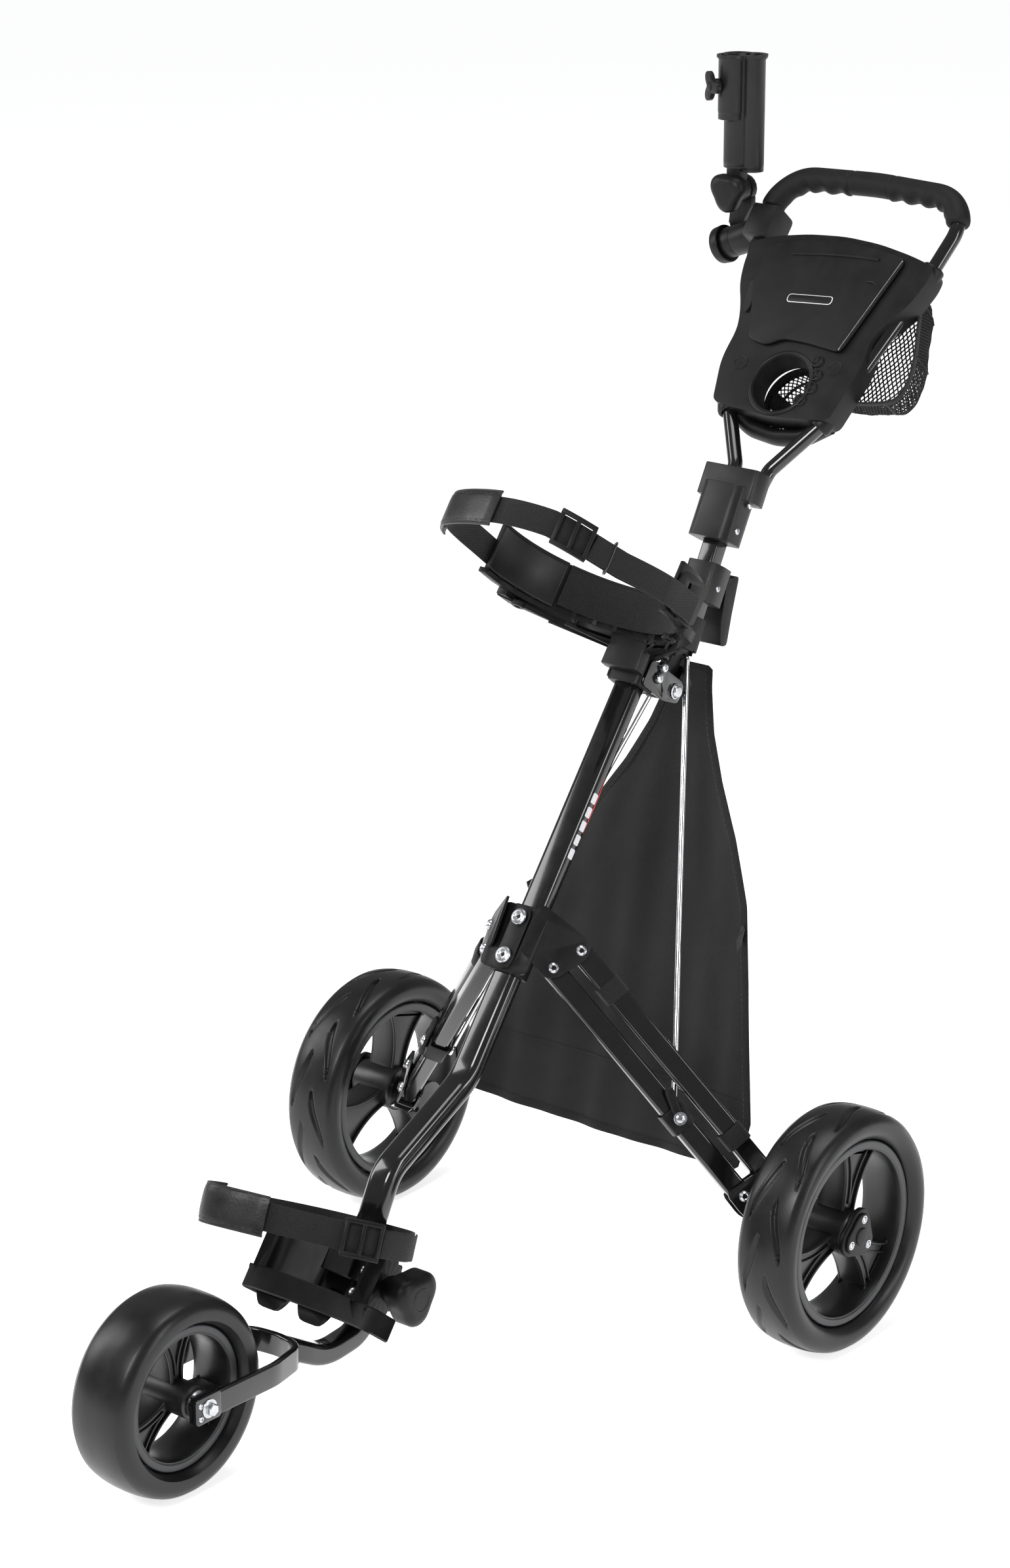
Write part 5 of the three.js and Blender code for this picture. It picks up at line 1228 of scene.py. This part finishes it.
def ap_half(h):
    for (h0, w0), (h1, w1) in zip(half, half[1:]):
        if h <= h1:
            t = (h - h0) / (h1 - h0)
            return w0 + (w1 - w0) * t
    return half[-1][1]


def ap_point(u, h):
    w = ap_half(h)
    x = u * w
    t = h / 494
    env = math.sin(math.pi * min(1, max(0, t))) ** 0.7
    fold = 2.8 * math.sin(x * 0.050 + 0.9) * (1 - t) + 1.7 * math.sin(x * 0.115 + 2.2 + h * 0.006) * (1 - t * 0.4)
    fold += 1.3 * math.sin(h * 0.028 + x * 0.02)
    sag = -7.0 * (1 - u * u) * env * 0.5
    ease = min(1.0, (1 - abs(u)) / 0.12)
    droop = 2.5 * (1 - u * u) * max(0.0, 1 - h / 60)
    p = AP0 + X * x + APD * (h - droop) + APN * ((fold * (0.35 + 0.65 * ease) + sag) * (0.25 + 0.75 * env if h > 250 else 1))
    return p


def apron():
    nu, nh = 120, 150
    verts, faces = [], []
    for s in (0.45, -0.45):
        for j in range(nh):
            for i in range(nu):
                u, h = -1 + 2 * i / (nu - 1), 494 * j / (nh - 1)
                verts.append(ap_point(u, h) + APN * s)
    b = nu * nh
    for j in range(nh - 1):
        for i in range(nu - 1):
            a = j * nu + i
            faces.append((a, a + 1, a + nu + 1, a + nu))
            faces.append((b + a + 1, b + a, b + a + nu, b + a + nu + 1))
    for j in range(nh - 1):
        a = j * nu
        faces.append((a, a + nu, b + a + nu, b + a))
        a = j * nu + nu - 1
        faces.append((a + nu, a, b + a, b + a + nu))
    for i in range(nu - 1):
        faces.append((i + 1, i, b + i, b + i + 1))
        a = (nh - 1) * nu + i
        faces.append((a, a + 1, b + a + 1, b + a))
    o = build("apron_cloth", verts, faces, CLOTH, None, (), smooth=60)
    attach(o, "chassis")
    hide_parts("fabric_apron")
    # webbing binding round the edge
    right = [ap_point(1, h) for h in np.linspace(2, 492, 90)]
    left = [ap_point(-1, h) for h in np.linspace(492, 2, 90)]
    top = [ap_point(u, 493) for u in np.linspace(0.9, -0.9, 12)]
    bottom = [ap_point(u, 1) for u in np.linspace(-0.99, 0.99, 80)]
    edge = right + top + left + bottom
    hem = build("apron_binding", *sweep(edge, rr(9, 2.0, 0.8, 2), lambda i, t: APN.cross(t), closed=True), WEB, "chassis", smooth=60)
    seam = [ap_point(u, 66 + 3 * (1 - u * u)) + APN * 0.6 for u in np.linspace(-0.985, 0.985, 100)]
    sm = build("apron_seam", *sweep(seam, rr(2.6, 0.9, 0.4, 2), APD), CLOTH, "chassis", smooth=60)
    with_p = [hem, sm]
    # stitches along the binding's two long sides
    st = []
    for i in range(0, len(right) - 1, 1):
        a, b2 = right[i], right[i + 1]
        st.append(sweep([a - X * 3.2 + APN * 1.15, a.lerp(b2, 0.55) - X * 3.2 + APN * 1.2], ring(0.3, 5), APN))
    for i in range(0, len(left) - 1, 1):
        a, b2 = left[i], left[i + 1]
        st.append(sweep([a + X * 3.2 + APN * 1.15, a.lerp(b2, 0.55) + X * 3.2 + APN * 1.2], ring(0.3, 5), APN))
    th = build("apron_thread", *merge(*st), THREAD, "chassis", smooth=60)
    with_p.append(th)
    # side ties to the legs
    for k in (1, -1):
        s = "right" if k > 0 else "left"
        a0 = ap_point(k, 236)
        tie = [a0 - X * (k * 4), a0 + X * (k * 6) - Y * 10, a0 + X * (k * 9) - Y * 26 - Z * 4]
        t_ = build("apron_tie_" + s, *sweep(fillet([tuple(p) for p in tie], 10, 8), rr(16, 1.6, 0.5, 2), APD), WEB, "chassis", smooth=60)
        with_p.append(t_)
    for q in [o, *with_p]:
        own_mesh(q)


apron()

# ------------------------------------------------------------------ floor, light and camera
me = bpy.data.meshes.new("floor")
me.from_pydata([(-30, -30, -0.0006), (30, -30, -0.0006), (30, 30, -0.0006), (-30, 30, -0.0006)], [], [(0, 1, 2, 3)])
floor = bpy.data.objects.new("floor", me)
bpy.context.scene.collection.objects.link(floor)
fm, fnt, fb = new_mat("floor_mat")
fb.inputs["Base Color"].default_value = (0.93, 0.93, 0.93, 1)
fb.inputs["Roughness"].default_value = 0.85
fb.inputs["Emission Color"].default_value = (1, 1, 1, 1)
fb.inputs["Emission Strength"].default_value = 0.72
me.materials.append(fm)

world = bpy.data.worlds.new("studio")
bpy.context.scene.world = world
world.use_nodes = True
wb = world.node_tree.nodes["Background"]
wb.inputs["Color"].default_value = (0.93, 0.94, 0.96, 1)
wb.inputs["Strength"].default_value = 0.27


def area_light(name, loc, aim, size, energy, color=(1, 1, 1), sy=None):
    L = bpy.data.lights.new(name, "AREA")
    L.energy, L.color, L.size = energy, color, size
    if sy:
        L.shape, L.size_y = "RECTANGLE", sy
    o = bpy.data.objects.new(name, L)
    bpy.context.scene.collection.objects.link(o)
    o.location = loc
    o.rotation_mode = "QUATERNION"
    o.rotation_quaternion = (Vector(aim) - Vector(loc)).to_track_quat("-Z", "Y")
    return o


area_light("key", (0.4, -3.4, 3.2), (0, 0, 0.5), 1.5, 95)
area_light("fill", (-3.2, -1.6, 2.4), (0, 0, 0.6), 1.4, 60, sy=2.4)
area_light("side_strip", (3.8, 0.6, 1.6), (0, 0, 0.5), 0.6, 45, sy=3.0)
area_light("top", (0, 0.6, 4.2), (0, 0, 0.4), 2.0, 55)

cam = bpy.data.cameras.new("camera")
co = bpy.data.objects.new("camera", cam)
bpy.context.scene.collection.objects.link(co)
az, el, dist = math.radians(39.5), math.radians(18.1), 4.349
target = Vector((-0.1279, OY / 1000, 0.5097))
back = Vector((math.sin(az) * math.cos(el), -math.cos(az) * math.cos(el), math.sin(el)))
co.location = target + back * dist
co.rotation_mode = "QUATERNION"
co.rotation_quaternion = (-back).to_track_quat("-Z", "Y")
cam.sensor_fit = "AUTO"
cam.sensor_width = 36
cam.lens = 95.45
cam.clip_start, cam.clip_end = 0.05, 200
cam.dof.use_dof = False
bpy.context.scene.camera = co
vs = bpy.context.scene.view_settings
vs.view_transform = "Standard"
